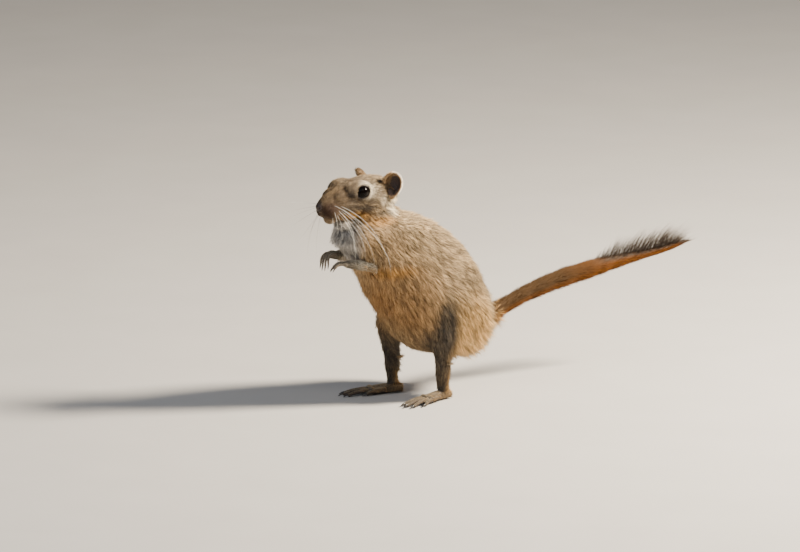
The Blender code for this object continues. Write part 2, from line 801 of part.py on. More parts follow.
def with_locks(core, locks):
    """The core joined with all its locks by one Boolean union."""
    gathered = bpy.data.collections.new("locks")
    bpy.context.scene.collection.children.link(gathered)
    helpers = [bpy.data.objects.new("lock", mesh) for mesh in locks]
    for helper in helpers:
        helper.hide_render = True
        gathered.objects.link(helper)
    base = workshop_object(core)
    union = base.modifiers.new("union", "BOOLEAN")
    union.operation = "UNION"
    union.operand_type = "COLLECTION"
    union.collection = gathered
    union.solver = "EXACT"
    joined = evaluated(base)
    for helper in helpers:
        bpy.data.objects.remove(helper)
    bpy.data.collections.remove(gathered)
    return largest_body(joined)


def add_trunk():
    """Trunk, cut into neck, chest, belly and rump, with shoulders and thighs."""
    trunk = fuse(trunk_shapes() + head_shapes(), "trunk")
    trunk = stretch(trunk, HEAD_JOINT, None)
    tail_start, tailwards, _ = tail_station(TAIL_CUTS[0])
    trunk = plane_cut(trunk, tail_start - tailwards * GAP, tailwards)
    legs = plane_cut(trunk, Vector((0, 0, SHANK_TOP - GAP)), Vector((0, 0, 1)))
    legs = plane_cut(legs, Vector((0, 0, ANKLE_HEIGHT + GAP)), Vector((0, 0, -1)))
    trunk = plane_cut(trunk, Vector((0, 0, SHANK_TOP)), Vector((0, 0, -1)))
    pieces = {
        "neck": stretch(trunk, None, NECK_JOINT),
        "chest": stretch(trunk, NECK_JOINT, CHEST_JOINT),
        "belly": stretch(trunk, CHEST_JOINT, BELLY_JOINT),
        "rump": stretch(trunk, BELLY_JOINT, None),
    }
    body = {"neck": pieces["neck"]}
    for side in SIDES:
        shank = plane_cut(legs, Vector(), Vector((0, -SIDES[side], 0)))
        add_part("shank_" + side, largest_body(shank), GREY_BUFF)
        shoulder = boolean(trunk, zone(SHOULDER_ZONE, side), "INTERSECT")
        thigh = boolean(trunk, zone(THIGH_ZONE, side), "INTERSECT")
        add_part("shoulder_" + side, shoulder, BUFF)
        add_part("thigh_" + side, thigh, BUFF)
        body["shoulder_" + side] = shoulder
    for name in ("chest", "belly", "rump"):
        piece = pieces[name]
        for side in SIDES:
            for values in (SHOULDER_ZONE, THIGH_ZONE):
                piece = boolean(piece, zone(values, side, GAP), "DIFFERENCE")
        body[name] = piece
        add_part(name, piece, BUFF)
    for side in SIDES:
        body["neck"] = boolean(body["neck"], zone(SHOULDER_ZONE, side, GAP), "DIFFERENCE")
    add_part("neck", body["neck"], BUFF)
    return body


def set_origin_under_the_middle():
    """Move everything so that the origin is on the floor, under the middle of the outline."""
    for part in bpy.data.collections["great_gerbil"].objects:
        part.data.transform(Matrix.Translation((-MIDDLE_X, 0, 0)))


def main():
    """Build the whole animal."""
    for leftover in list(bpy.data.objects):
        bpy.data.objects.remove(leftover)
    for name in ("great_gerbil", "cutters"):
        bpy.context.scene.collection.children.link(bpy.data.collections.new(name))
    head = build_head()
    add_part("head", head, BUFF)
    body = add_trunk()
    for side in SIDES:
        left = -SIDES[side]
        eye = ellipsoid(eye_centre(left), [EYE_RADIUS] * 3, segments=14, rings=8)
        add_part("eye_" + side, eye, BLACK, 0.08)
        add_part("ear_" + side, clear_of(ear_shape(side), thin_out(head.copy(), 900)), CREAM)
        foot = build_hind_foot(side)
        add_part("foot_" + side, foot, GREY_BUFF)
        hand = clear_of(build_hand(side), body["chest"])
        add_part("hand_" + side, hand, GREY_BUFF)
        neighbours = [body["chest"], body["shoulder_" + side]]
        add_part("forearm_" + side, build_forearm(side, neighbours), BUFF)
        for number, mesh in enumerate(hind_claws(side), start=1):
            add_part(f"claw_hind_{side}_{number}", clear_of(mesh, foot), BLACK, 0.35)
        for number, mesh in enumerate(hand_claws(side), start=1):
            add_part(f"claw_fore_{side}_{number}", clear_of(mesh, hand), BLACK, 0.35)
    root_start, root_end, middle_end = TAIL_CUTS
    add_part("tail_root", tail_length(root_start, root_end), RUST)
    add_part("tail_middle", tail_length(root_end, middle_end), RUST)
    add_part("tail_brush", with_locks(tail_length(middle_end, 1.0), crest_locks()), RUST)
    set_origin_under_the_middle()


main()
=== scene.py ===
"""Great gerbil: skin, coat, ears, eyes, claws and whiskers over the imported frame.

The tables give millimetres in the animal's own frame: it faces -X, its left
side is towards -Y and the floor is at Z = 0. place() turns them into metres in
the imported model's frame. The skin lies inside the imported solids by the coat's
depth, and the coat is made of closed, tapered tufts that follow the guides of
the coat tables.
"""

import math

import bmesh
import bpy
import numpy as np
from mathutils import Matrix, Vector, kdtree
from mathutils.bvhtree import BVHTree


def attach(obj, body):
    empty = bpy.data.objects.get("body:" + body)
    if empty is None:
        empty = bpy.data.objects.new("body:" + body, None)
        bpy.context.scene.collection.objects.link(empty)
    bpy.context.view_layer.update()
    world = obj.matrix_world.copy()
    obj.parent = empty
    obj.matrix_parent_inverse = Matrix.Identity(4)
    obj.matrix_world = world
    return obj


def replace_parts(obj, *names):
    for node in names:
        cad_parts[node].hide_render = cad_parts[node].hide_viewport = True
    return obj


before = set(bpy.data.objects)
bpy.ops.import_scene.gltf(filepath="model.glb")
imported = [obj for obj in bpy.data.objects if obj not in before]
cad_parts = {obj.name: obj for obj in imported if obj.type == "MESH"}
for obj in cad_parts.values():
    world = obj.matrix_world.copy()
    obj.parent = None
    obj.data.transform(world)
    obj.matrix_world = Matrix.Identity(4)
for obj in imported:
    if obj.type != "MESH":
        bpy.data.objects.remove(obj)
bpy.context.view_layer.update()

MM = 0.001
MIDDLE_X = 94.6
SIDES = {"left": -1, "right": 1}

# The photograph's view: direction and height of the camera in degrees, what
# its middle looks at, and how much of the world its width shows
VIEW_AZIMUTH, VIEW_ELEVATION = -34, 12
VIEW_TARGET = (18.9, 0.0, 83.4)
VIEW_WIDTH = 0.528
VIEW_DISTANCE = 6.0

# Head, in its own frame: forward, left, up
HEAD_PLACE = (-1.6, 0.0, 142.0)
HEAD_TURN, HEAD_PITCH, HEAD_ROLL = 6, -2, 3
EYE = (19.6, 11.4, 4.8)
EYE_GAZE = (0.30, 0.92, 0.12)
EYE_RADIUS = 4.9
# Lids: half the opening's width and height, how much each corner adds, how far
# the skirt reaches, and the lid's steps round the eye and its hairs
LID_OPENING = (4.45, 3.8)
LID_CORNERS = (0.75, 0.3)
LID_REACH = 6.2
LID_STEPS, LID_HAIRS = 72, 1500
NOSE = (47.5, 0.0, -2.6)
# Nose pad: centre, radii, then each nostril's place outwards and up
NOSE_PAD = ((46.0, 0.0, -2.1), (3.3, 3.1, 3.0))
NOSTRIL = (1.55, -2.5)
# Mouth line: it runs round this point of the head, from the middle to each
# corner, and rises from its front height to the corner's
MOUTH_CENTRE, MOUTH_SWING = (34.0, 0.0), 76
MOUTH_HEIGHTS = (-9.6, -7.4)
CLEFT_HEIGHTS = (-4.6, -5.6, -6.6, -7.6, -8.6, -9.6)
# Bare skin round the nose, the mouth and an eye (at the root, the tip and the
# middle of a hair), and the height where the body's coat starts and the leg's ends
BARE_NOSE, BARE_MOUTH, BARE_EYE = 2.8, 0.5, (5.7, 5.6, 5.5)
BODY_COAT_FLOOR, LEG_COAT_TOP = 17, 25
# Eggs that fill the hollows of the head: jowl, side of the snout and under the chin
HEAD_FILLERS = [
    ((8.0, 9.0, -11.5), (15.0, 6.0, 6.0)),
    ((30.0, 6.0, 2.4), (9.0, 4.8, 5.8)),
    ((25.0, 0.0, -16.5), (10.0, 7.0, 5.0)),
]
# Where the face is smoothed between brow and snout, and how often
SOFT_FACE = ((31.0, 0.0, 4.0), (12.5, 17.0, 10.0))
SOFT_STEPS = 36
EAR = (-3.0, 15.5, 6.5)
EAR_HEIGHT, EAR_WIDTH, EAR_YAW = 17.0, 13.5, 42
EAR_LEAN = {"left": (16, 14), "right": (40, 6)}

# Feet and hands: heel and longest toe on the floor, and the line of each arm
FEET = {"left": ((51, 14), (9, 24)), "right": ((35, 17), (-7, 28))}
ARMS = {
    "left": ((1, 19, 94), (-20.5, 9, 97), (-28.5, 5, 98), (-36, 3, 96)),
    "right": ((0, 19, 97), (-24, 9, 101), (-33, 7.5, 103), (-37, 6.5, 96)),
}

# Toes from the inner to the outer one: place across the foot, root forward of
# the heel, length and splay; then the skin's radii and heights from root to tip
TOES = [(-4.6, 20.0, 9.0, -1.2), (-3.3, 27.0, 14.5, -0.9), (0.0, 28.0, 15.5, 0.0),
        (3.3, 27.0, 14.5, 0.9), (5.0, 21.0, 12.0, 1.6)]
TOE_RADII = (1.9, 1.50, 1.30)
TOE_HEIGHTS = (3.2, 3.1, 1.5)
# Where the sole is cut, how far a toe starts behind its root, and the row of
# balls across the foot that joins the toes to the sole
TOE_CUT, TOE_OVERLAP = 27.0, 4.0
FOOT_BALL = ((24.5, -3.0, 3.4), (24.5, 0.4, 3.4), (24.5, 3.6, 3.4))
FOOT_BALL_RADII = (2.3, 2.6, 2.3)
# Fingers: place across the hand and share of the longest one
FINGERS = [(-3.0, 0.80), (-1.1, 0.97), (1.0, 1.0), (3.1, 0.85)]
FINGER_RADII = (1.2, 0.98, 0.80)

# Tail: middle line and radius out to the tips of its hair
TAIL_POINTS = [
    ((84, 0, 47), 7.0), ((97, -1, 52), 5.4), ((112, -3.2, 58.5), 5.5), ((126, -5.1, 63.4), 6.0),
    ((143, -7.6, 68.2), 6.3), ((160, -10.1, 71.8), 5.9), ((171, -11.7, 74.0), 5.2),
    ((185, -13.7, 76.4), 4.3), ((200, -16, 78.5), 3.2), ((217, -18.5, 81), 2.3),
    ((229, -20.1, 84), 1.0),
]
# The hair's share of that radius, its lift in degrees and its numbers on the
# tail, in the crest and in the fringe; then where the crest lies along the tail
TAIL_HAIR_SHARE = 0.42
TAIL_LIFT = 20
TAIL_HAIRS, CREST_HAIRS, FRINGE_HAIRS = 36000, 1800, 2600
CREST_START, CREST_END = 0.55, 0.995
CREST_TOP = 16.5
CREST_SWEEP = (7.0, 18.0)
CREST_LOCKS, CREST_LENGTH = 90, 66.0

# Coat guides. Each has a place, the way the hair lies there, its length and
# how many degrees it lifts off the skin. Those beside the middle stand for
# both sides. On the head they are forward, outwards, up
HEAD_COAT = [
    ((48, 0, 2), (-1, 0, 0.3), 0.7, 12),
    ((47, 3, -4), (-1, 0.6, 0), 0.7, 12),
    ((41, 6, -7), (-1, 0.5, -0.35), 1.2, 18),
    ((38, 7, 0), (-1, 0.2, 0.1), 1.2, 12),
    ((34, 0, 8.5), (-1, 0, 0.3), 1.5, 12),
    ((40, 3, -14), (-0.9, 0.1, -0.4), 1.3, 16),
    ((29, 10, 2), (-1, 0.4, 0.05), 1.5, 10),
    ((20, 11, 12), (-1, 0.25, 0.1), 1.9, 14),
    ((20, 15, -2.5), (-1, 0, -0.2), 1.7, 10),
    ((13, 15, 5), (-1, 0.1, 0), 2.2, 14),
    ((22, 4, 12.5), (-1, 0, 0), 2.2, 12),
    ((8, 4, 13), (-1, 0, -0.1), 3.0, 14),
    ((-8, 5, 9), (-0.8, 0, -0.6), 4.0, 18),
    ((0, 13, 6), (-0.9, 0.3, -0.3), 2.6, 18),
    ((12, 16, -7), (-0.9, 0, -0.45), 3.4, 16),
    ((0, 15, -8), (-0.75, 0, -0.7), 4.6, 20),
    ((6, 13, -13), (-0.8, 0, -0.65), 4.8, 22),
    ((28, 9, -11), (-0.9, 0, -0.45), 2.8, 18),
    ((20, 5, -16), (-0.6, 0, -0.8), 4.2, 24),
]
BODY_COAT = [
    ((16, 0, 133), (0.85, 0, -0.55), 5.0, 16),
    ((40, 0, 120), (0.86, 0, -0.5), 6.0, 16),
    ((58, 0, 108), (0.75, 0, -0.65), 6.8, 16),
    ((74, 0, 89), (0.55, 0, -0.82), 7.2, 17),
    ((86, 0, 64), (0.40, 0, -0.92), 7.8, 22),
    ((88, 12, 48), (0.60, 0.1, -0.75), 10.0, 36),
    ((78, 14, 34), (0.70, 0.1, -0.65), 10.5, 40),
    ((60, 22, 30), (0.60, 0.1, -0.75), 8.5, 34),
    ((0, 20, 118), (0.45, 0.05, -0.85), 5.2, 16),
    ((20, 24, 108), (0.6, 0.05, -0.75), 6.2, 16),
    ((8, 29, 96), (0.45, 0.05, -0.85), 6.0, 16),
    ((35, 30, 95), (0.65, 0.05, -0.7), 6.8, 16),
    ((45, 32, 78), (0.6, 0.05, -0.75), 7.0, 16),
    ((68, 26, 75), (0.5, 0.05, -0.85), 7.2, 17),
    ((55, 34, 58), (0.35, 0.05, -0.9), 6.6, 15),
    ((75, 28, 48), (0.55, 0.1, -0.80), 8.2, 26),
    ((35, 30, 50), (0.1, 0.05, -1), 5.0, 12),
    ((32, 28, 36), (0.1, 0, -1), 4.0, 12),
    ((-30, 0, 118), (0.25, 0, -0.95), 5.5, 20),
    ((-22, 8, 103), (0.35, 0.1, -0.9), 6.0, 20),
    ((-6, 12, 84), (0.4, 0.1, -0.9), 6.0, 18),
    ((4, 8, 66), (0.5, 0, -0.85), 6.0, 18),
    ((18, 16, 46), (0.6, 0, -0.75), 4.6, 12),
    ((40, 6, 31), (0.9, 0, -0.25), 4.4, 10),
    ((24, 6, 40), (0.85, 0, -0.4), 4.6, 10),
    ((2, 24, 84), (0.3, 0.1, -0.95), 5.5, 18),
]
# On the legs: forward of the heel, outwards, height
LEG_COAT = [
    ((12, 0, 26), (0, 0, -1), 3.0, 12),
    ((3, 0, 24), (-0.15, 0, -1), 5.2, 24),
    ((13, 0, 13), (0.3, 0, -1), 2.0, 12),
    ((2, 0, 12), (-0.15, 0, -1), 5.0, 28),
    ((-1, 0, 4), (-0.2, 0, -0.8), 1.6, 16),
    ((16, 0, 7), (1, 0, -0.2), 1.5, 10),
    ((25, 0, 5), (1, 0, -0.1), 1.3, 9),
    ((36, 0, 4), (1, 0, -0.1), 0.8, 9),
    ((20, 5, 2), (1, 0.2, -0.2), 1.3, 12),
]
# On the arms: length of the hair at the elbow, wrist, knuckles and finger tips
ARM_COAT = (3.2, 1.8, 0.8, 0.55)
ARM_LIFT = 11

# Skins: the remesh's size in mm and rounds of smoothing, how far a node grows
# before it, and how deep the skin then sinks as a share of the coat's height
HEAD_MESH, TRUNK_MESH, LEG_MESH, ARM_MESH, EAR_MESH = (0.5, 4), (0.95, 4), (0.28, 2), (0.22, 1), (0.3, 4)
NODE_SWELL = 0.25
SINK_SHARE = 1.2
# Tufts on a square millimetre: this many for each mm of length, the least and
# the most on the body, then the most on the legs, the hands and the ears
COAT_DENSITY = (34.0, 3.0, 12.0)
LEG_DENSITY, HAND_DENSITY, EAR_DENSITY = 14.0, 13.0, 15.0

# Colours of the hair and skin, as light that they reflect
SAND = (0.50, 0.345, 0.19)
BUFF_GREY = (0.27, 0.208, 0.130)
FACE_GREY = (0.088, 0.064, 0.043)
HONEY = (0.92, 0.60, 0.25)
ORANGE_BUFF = (0.33, 0.155, 0.04)
CREAM = (0.84, 0.72, 0.52)
WHITE = (0.53, 0.54, 0.55)
SLATE = (0.080, 0.070, 0.060)
RUST = (0.46, 0.23, 0.050)
UMBER = (0.060, 0.027, 0.015)
MUZZLE_BROWN = (0.13, 0.082, 0.040)
PALE_CREAM = (0.97, 0.86, 0.66)
PALE_TIP = (0.84, 0.62, 0.33)
DARK_TIP = (0.045, 0.03, 0.02)
NOSE_SKIN = (0.02, 0.012, 0.01)
FRINGE_GOLD = (0.80, 0.50, 0.22)
# The feet's pale hair colour is a painted highlight on the tops of the toes; the hands' is their own pale
# hair.
FOOT_TOP_HIGHLIGHT, HAND_HAIR = (0.52, 0.44, 0.31), (0.86, 0.74, 0.54)
TAIL_DUSK = (0.032, 0.016, 0.004)
EAR_BACK, EAR_RIM = (0.36, 0.24, 0.14), (0.50, 0.38, 0.27)
# Finishes that vary between two tones
PAW_TONES = ((0.055, 0.048, 0.040), (0.18, 0.155, 0.120))
# The dark skin's tones also serve as painted shade between the toes and fingers.
SOLE_AND_GAP_SHADE_TONES = ((0.04, 0.03, 0.024), (0.09, 0.068, 0.05))
TAIL_TONES = ((0.055, 0.014, 0.001), (0.150, 0.050, 0.002))
CREST_TONES = ((0.018, 0.014, 0.012), (0.085, 0.066, 0.05))
NOSE_TONES = ((0.012, 0.007, 0.006), (0.045, 0.024, 0.020))
# The ear's cup is painted dark as shade in its hollow.
CUP_SHADE_TONES = ((0.018, 0.012, 0.011), (0.07, 0.042, 0.033))
EAR_HAIR_TONES = ((0.22, 0.13, 0.06), (0.52, 0.35, 0.19))
EAR_FRINGE_TONES = ((0.86, 0.80, 0.68), (0.97, 0.94, 0.88))
# The hair inside the ear's cup is painted dark as shade in the hollow.
EAR_INNER_SHADE_TONES = ((0.02, 0.016, 0.014), (0.10, 0.07, 0.05))
LID_TONES = ((0.010, 0.007, 0.006), (0.03, 0.02, 0.016))
EYE_TONES = ((0.0015, 0.001, 0.001), (0.004, 0.0025, 0.002))
HORN_TONES = ((0.012, 0.01, 0.009), (0.05, 0.04, 0.033))
WHISKER_TONES = ((0.75, 0.70, 0.62), (0.95, 0.93, 0.88))
FLOOR_TONES = ((0.50, 0.48, 0.46), (0.55, 0.53, 0.51))


def place(x, y, z):
    """A point of the animal's frame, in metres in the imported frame."""
    return Vector((x - MIDDLE_X, y, z)) * MM


def head_matrix():
    """From the head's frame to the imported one."""
    forward_left_up = Matrix(((-1, 0, 0, 0), (0, -1, 0, 0), (0, 0, 1, 0), (0, 0, 0, 1)))
    turn = Matrix.Rotation(math.radians(HEAD_TURN), 4, "Z")
    pitch = Matrix.Rotation(-math.radians(HEAD_PITCH), 4, "Y")
    roll = Matrix.Rotation(math.radians(HEAD_ROLL), 4, "X")
    return Matrix.Translation(place(*HEAD_PLACE)) @ forward_left_up @ turn @ pitch @ roll


def on_head(forward, left, up):
    """A point given in the head's frame in millimetres."""
    return head_matrix() @ (Vector((forward, left, up)) * MM)


def head_way(forward, left, up):
    """A direction given in the head's frame."""
    return head_matrix().to_3x3() @ Vector((forward, left, up))


def foot_frame(side):
    """Heel, forward direction and outward direction of a hind foot."""
    (heel_x, heel_out), (toe_x, toe_out) = FEET[side]
    heel, toe = place(heel_x, heel_out * SIDES[side], 0), place(toe_x, toe_out * SIDES[side], 0)
    forward = (toe - heel).normalized()
    outward = Vector((-forward.y, forward.x, 0)) * SIDES[side] * -1
    return heel, forward, outward


def on_foot(side, forward_mm, outward_mm, height_mm):
    """A point measured from a foot's heel."""
    heel, forward, outward = foot_frame(side)
    return heel + (forward * forward_mm + outward * outward_mm + Vector((0, 0, height_mm))) * MM


class Value:
    """A shader socket that plain arithmetic works on."""

    def __init__(self, finish, socket):
        self.finish, self.socket = finish, socket

    def maths(self, operation, *values):
        """A Math node on one or two values."""
        return self.finish.node("ShaderNodeMath", {"operation": operation}, dict(enumerate(values)))

    def __add__(self, other):
        return self.maths("ADD", self, other)

    def __sub__(self, other):
        return self.maths("SUBTRACT", self, other)

    def __rsub__(self, other):
        return self.maths("SUBTRACT", other, self)

    def __mul__(self, other):
        return self.maths("MULTIPLY", self, other)

    __radd__ = __add__
    __rmul__ = __mul__


class Finish:
    """A material that is written as a few plain calls."""

    def __init__(self, name, **constants):
        self.material = bpy.data.materials.new(name)
        self.material.use_nodes = True
        self.tree = self.material.node_tree
        self.shader = self.tree.nodes["Principled BSDF"]
        for socket, value in constants.items():
            self.shader.inputs[socket.replace("_", " ")].default_value = value

    def feed(self, socket, value):
        """A link or a constant for one socket."""
        if isinstance(value, Value):
            self.tree.links.new(value.socket, socket)
        elif socket.type == "RGBA":
            socket.default_value = (*value, 1.0)
        else:
            socket.default_value = value

    def node(self, kind, settings, values, output=0):
        """A node of any kind, its settings first, then its sockets."""
        made = self.tree.nodes.new(kind)
        for key, value in settings.items():
            setattr(made, key, value)
        for key, value in values.items():
            self.feed(made.inputs[key], value)
        return Value(self, made.outputs[output])

    def vector(self, operation, *values, output=0):
        """A Vector Math node."""
        return self.node("ShaderNodeVectorMath", {"operation": operation}, dict(enumerate(values)), output)

    def mix(self, first, second, amount):
        """One colour turning into another."""
        return self.node("ShaderNodeMix", {"data_type": "RGBA"}, {0: amount, 6: first, 7: second}, 2)

    def times(self, colour, amount):
        """A colour made lighter or darker by a number."""
        return self.node("ShaderNodeVectorMath", {"operation": "SCALE"}, {0: colour, "Scale": amount})

    def fade(self, value, start, end):
        """0 before start, 1 past end, with soft ends; start may be the larger one."""
        return self.node(
            "ShaderNodeMapRange", {"interpolation_type": "SMOOTHSTEP"}, {0: value, 1: start, 2: end}
        )

    def noise(self, spot, size_mm, detail=2.0):
        """Soft random spots of about the given size."""
        scale = 1.0 / (size_mm * MM)
        values = {"Vector": spot, "Scale": scale, "Detail": detail}
        return self.node("ShaderNodeTexNoise", {}, values)

    def places(self):
        """Object coordinates."""
        return self.node("ShaderNodeTexCoord", {}, {}, 3)

    def attribute(self, name, output=2):
        """A number (2) or a vector (1) stored on the mesh."""
        return self.node("ShaderNodeAttribute", {"attribute_name": name}, {}, output)

    def bump(self, height, strength, distance_mm):
        """Relief on the surface."""
        values = {"Height": height, "Strength": strength, "Distance": distance_mm * MM}
        self.feed(self.shader.inputs["Normal"], self.node("ShaderNodeBump", {}, values))

    def spot(self, where, centre, radii, soft):
        """1 inside an egg-shaped spot and 0 outside it."""
        offset = self.vector("DIVIDE", self.vector("SUBTRACT", where, centre), radii)
        return self.fade(self.vector("LENGTH", offset, output=1), 1 + soft, 1 - soft)

    def painted(self, colour):
        """The finished material, in this colour."""
        self.feed(self.shader.inputs["Base Color"], colour)
        return self.material


# Markings, laid one over another: colour, centre, radii, softness, strength.
# On the body the centre is X, outwards, Z; on the head forward, outwards, up
BODY_MARKS = [
    (ORANGE_BUFF, (2, 14, 66), (26, 26, 26), 0.6, 0.78),
    (BUFF_GREY, (14, 0, 50), (26, 18, 14), 0.6, 0.45),
    (HONEY, (62, 34, 46), (26, 16, 26), 0.6, 0.80),
    (HONEY, (84, 10, 36), (20, 28, 16), 0.6, 0.60),
    # Dark grey on the thighs' fronts and shins: the hair's own dark grey, with painted shade.
    (SLATE, (36, 31, 54), (7.5, 12, 20), 0.5, 0.96),
    (SLATE, (28, 26, 34), (12, 13, 17), 0.5, 0.92),
    (WHITE, (-30, 0, 112), (15, 15, 21), 0.35, 0.85),
    (SAND, (8, 26, 78), (22, 14, 20), 0.6, 0.35),
    (RUST, (-5, 20, 94), (18, 14, 4.0), 0.6, 0.80),
    (RUST, (94, 0, 50), (8, 9, 8), 0.4, 0.7),
]
HEAD_MARKS = [
    (FACE_GREY, (23, 0, 1), (28, 20, 15), 0.35, 0.88),
    (MUZZLE_BROWN, (38, 3, 3), (11, 9, 8), 0.4, 0.75),
    (PALE_CREAM, (17.6, 12.5, 6.0), (6.8, 8.0, 5.8), 0.26, 0.72),
    (CREAM, (12.0, 14, 5.0), (6.0, 6.0, 5.0), 0.6, 0.30),
    (FACE_GREY, (27.5, 12, 4.0), (3.4, 6, 6.0), 0.5, 0.65),
    (PALE_CREAM, (4.0, 14, -3.0), (4.5, 6, 3.4), 0.6, 0.50),
    (PALE_CREAM, (-4.5, 14, -8), (6.6, 8, 6.8), 0.35, 1.0),
    (SLATE, (26.5, 13, 4.0), (2.4, 4.5, 0.9), 0.6, 0.6),
    (SLATE, (21, 14, -6.2), (12, 6, 1.2), 0.7, 0.40),
    (SLATE, (5, 14, -10.6), (8, 6, 1.4), 0.6, 0.65),
    (RUST, (26, 9.5, -10.6), (10, 9, 3.3), 0.6, 0.88),
    (RUST, (8, 14, -15.8), (12, 8, 3.2), 0.6, 0.60),
    # Whisker pad: its own dark spots, with painted shade below the nose.
    (UMBER, (43.0, 5.5, -5.0), (7.6, 6.0, 5.2), 0.50, 0.95),
    (NOSE_SKIN, (48.5, 0, -1.0), (2.8, 4.0, 4.6), 0.3, 1.0),
]

# From belly to back: the direction's share of X and Z, a place halfway, and where
# the grey of the back starts and is full; then, in mm, where the dark of the legs
# starts and is full, and where the finer hair of the face does, up and forward
BACK_WAY, BACK_MIDDLE, BACK_SPAN = (0.75, 0.66), (30, 0, 75), (-12, 22)
LEG_FADE = (40, 26)
FACE_HEIGHTS, FACE_REACH = (-12, -4), (-8, 4)


def coat_colours(finish, where):
    """The coat's colour at a place, how grizzled it is and whether it is the face."""
    x, y, z = (finish.node("ShaderNodeSeparateXYZ", {}, {0: where}, axis) for axis in range(3))
    mirrored = finish.node("ShaderNodeCombineXYZ", {}, {0: x, 1: y.maths("ABSOLUTE", y), 2: z})
    towards_back = x * BACK_WAY[0] + z * BACK_WAY[1]
    backwards = finish.fade(towards_back, *(dorsal(amount) for amount in BACK_SPAN))
    colour = finish.mix(SAND, BUFF_GREY, backwards * 0.65)
    colour = finish.mix(colour, SLATE, finish.fade(z, *(height * MM for height in LEG_FADE)) * 0.90)
    for tone, centre, radii, soft, strength in BODY_MARKS:
        mark = finish.spot(mirrored, place(*centre), Vector(radii) * MM, soft)
        colour = finish.mix(colour, tone, mark * strength)
    axes = [head_way(*axis) for axis in ((1, 0, 0), (0, 1, 0), (0, 0, 1))]
    from_head = finish.vector("SUBTRACT", where, place(*HEAD_PLACE))
    forward, left, up = (finish.vector("DOT_PRODUCT", from_head, axis, output=1) for axis in axes)
    aside = left.maths("ABSOLUTE", left)
    head_spot = finish.node("ShaderNodeCombineXYZ", {}, {0: forward, 1: aside, 2: up})
    for tone, centre, radii, soft, strength in HEAD_MARKS:
        mark = finish.spot(head_spot, Vector(centre) * MM, Vector(radii) * MM, soft)
        colour = finish.mix(colour, tone, mark * strength)
    face = finish.fade(up, *(height * MM for height in FACE_HEIGHTS))
    face = face * finish.fade(forward, *(reach * MM for reach in FACE_REACH))
    return colour, backwards * 0.75, face


def dorsal(offset):
    """How far along the belly-to-back direction a plane lies, in metres."""
    middle = place(*BACK_MIDDLE)
    return middle.x * BACK_WAY[0] + middle.z * BACK_WAY[1] + offset * MM


def coat_finish(name):
    """Hair: dark at the root, pale or dark towards the tip, lock by lock."""
    finish = Finish(name, Roughness=0.55, Specular_IOR_Level=0.3)
    where = finish.attribute("root", 1)
    along, chance, lock = (finish.attribute(key) for key in ("along", "chance", "lock"))
    colour, grizzle, face = coat_colours(finish, where)
    colour = finish.mix(colour, FRINGE_GOLD, finish.attribute("fringe"))
    drift = finish.fade(finish.noise(where, 7.0, 3.0), 0.3, 0.7)
    tone = 0.26 + face * 0.24 + lock * (0.92 - face * 0.5) + chance * 0.26 + drift * 0.14
    colour = finish.times(colour, tone)
    middle = finish.fade(along, 0.0, 0.5)
    colour = finish.mix(finish.times(colour, 0.30), colour, middle)
    pale = finish.fade(lock * 0.6 + chance * 0.4, 0.50, 0.75) * finish.fade(along, 0.3, 0.75)
    bright = finish.mix(finish.times(colour, 2.2), PALE_TIP, 0.55)
    colour = finish.mix(colour, bright, pale * (grizzle * 0.28 + 0.30) * (1 - face * 0.5))
    dark = finish.fade(lock * 0.35 + chance * 0.65, 0.42, 0.24)
    tip = finish.fade(along, 0.2, 0.6) * (dark * (grizzle * 0.9 + face * 0.8 + 0.12))
    return finish.painted(finish.mix(colour, DARK_TIP, tip))


def skin_finish(name):
    """Skin with the coat's markings, as the short underfur shows it."""
    finish = Finish(name, Roughness=0.7, Specular_IOR_Level=0.2)
    where = finish.places()
    fine = finish.noise(where, 0.5, 3.0)
    finish.bump(fine, 0.5, 0.3)
    return finish.painted(finish.times(coat_colours(finish, where)[0], 0.38 + fine * 0.35))


def foot_finish(name, paleness=1.0):
    """Dark skin on the soles and between the toes, where it is painted shade in the gaps."""
    finish = Finish(name, Roughness=0.6, Specular_IOR_Level=0.3)
    where = finish.places()
    fine = finish.noise(where, 0.35, 3.0)
    finish.bump(fine, 0.6, 0.25)
    patch = finish.fade(finish.noise(where, 3.0, 2.0), 0.35, 0.65)
    return finish.painted(finish.times(finish.mix(*SOLE_AND_GAP_SHADE_TONES, patch), (0.75 + fine * 0.5) * paleness))


def paw_coat_finish(name, pale_and_highlight_hair=FOOT_TOP_HIGHLIGHT):
    """Short hair of feet and hands: grey-brown to pale, orange where tinted, the pale partly a painted
    highlight.
    """
    finish = Finish(name, Roughness=0.6, Specular_IOR_Level=0.25)
    keys = ("along", "chance", "lock", "pale", "fringe")
    along, chance, lock, pale, fringe = (finish.attribute(key) for key in keys)
    colour = finish.mix(*PAW_TONES, lock * 0.6 + chance * 0.4)
    # The pale share is a painted highlight on the toe tops, and on the hands their own pale forearm hair
    # with painted shade beneath.
    colour = finish.mix(colour, pale_and_highlight_hair, pale * (0.55 + chance * 0.2))
    colour = finish.mix(colour, FRINGE_GOLD, fringe)
    return finish.painted(finish.mix(finish.times(colour, 0.45), colour, finish.fade(along, 0.0, 0.45)))


def tail_finish(name):
    """Rust-orange hair that turns dark in the crest."""
    finish = Finish(name, Roughness=0.65, Specular_IOR_Level=0.12)
    along, chance, tint = (finish.attribute(key) for key in ("along", "chance", "tint"))
    rust = finish.mix(finish.mix(*TAIL_TONES, chance), TAIL_DUSK, finish.attribute("dusk"))
    rust = finish.mix(finish.times(rust, 0.40), rust, finish.fade(along, 0.0, 0.5))
    return finish.painted(finish.mix(rust, finish.mix(*CREST_TONES, chance), tint))


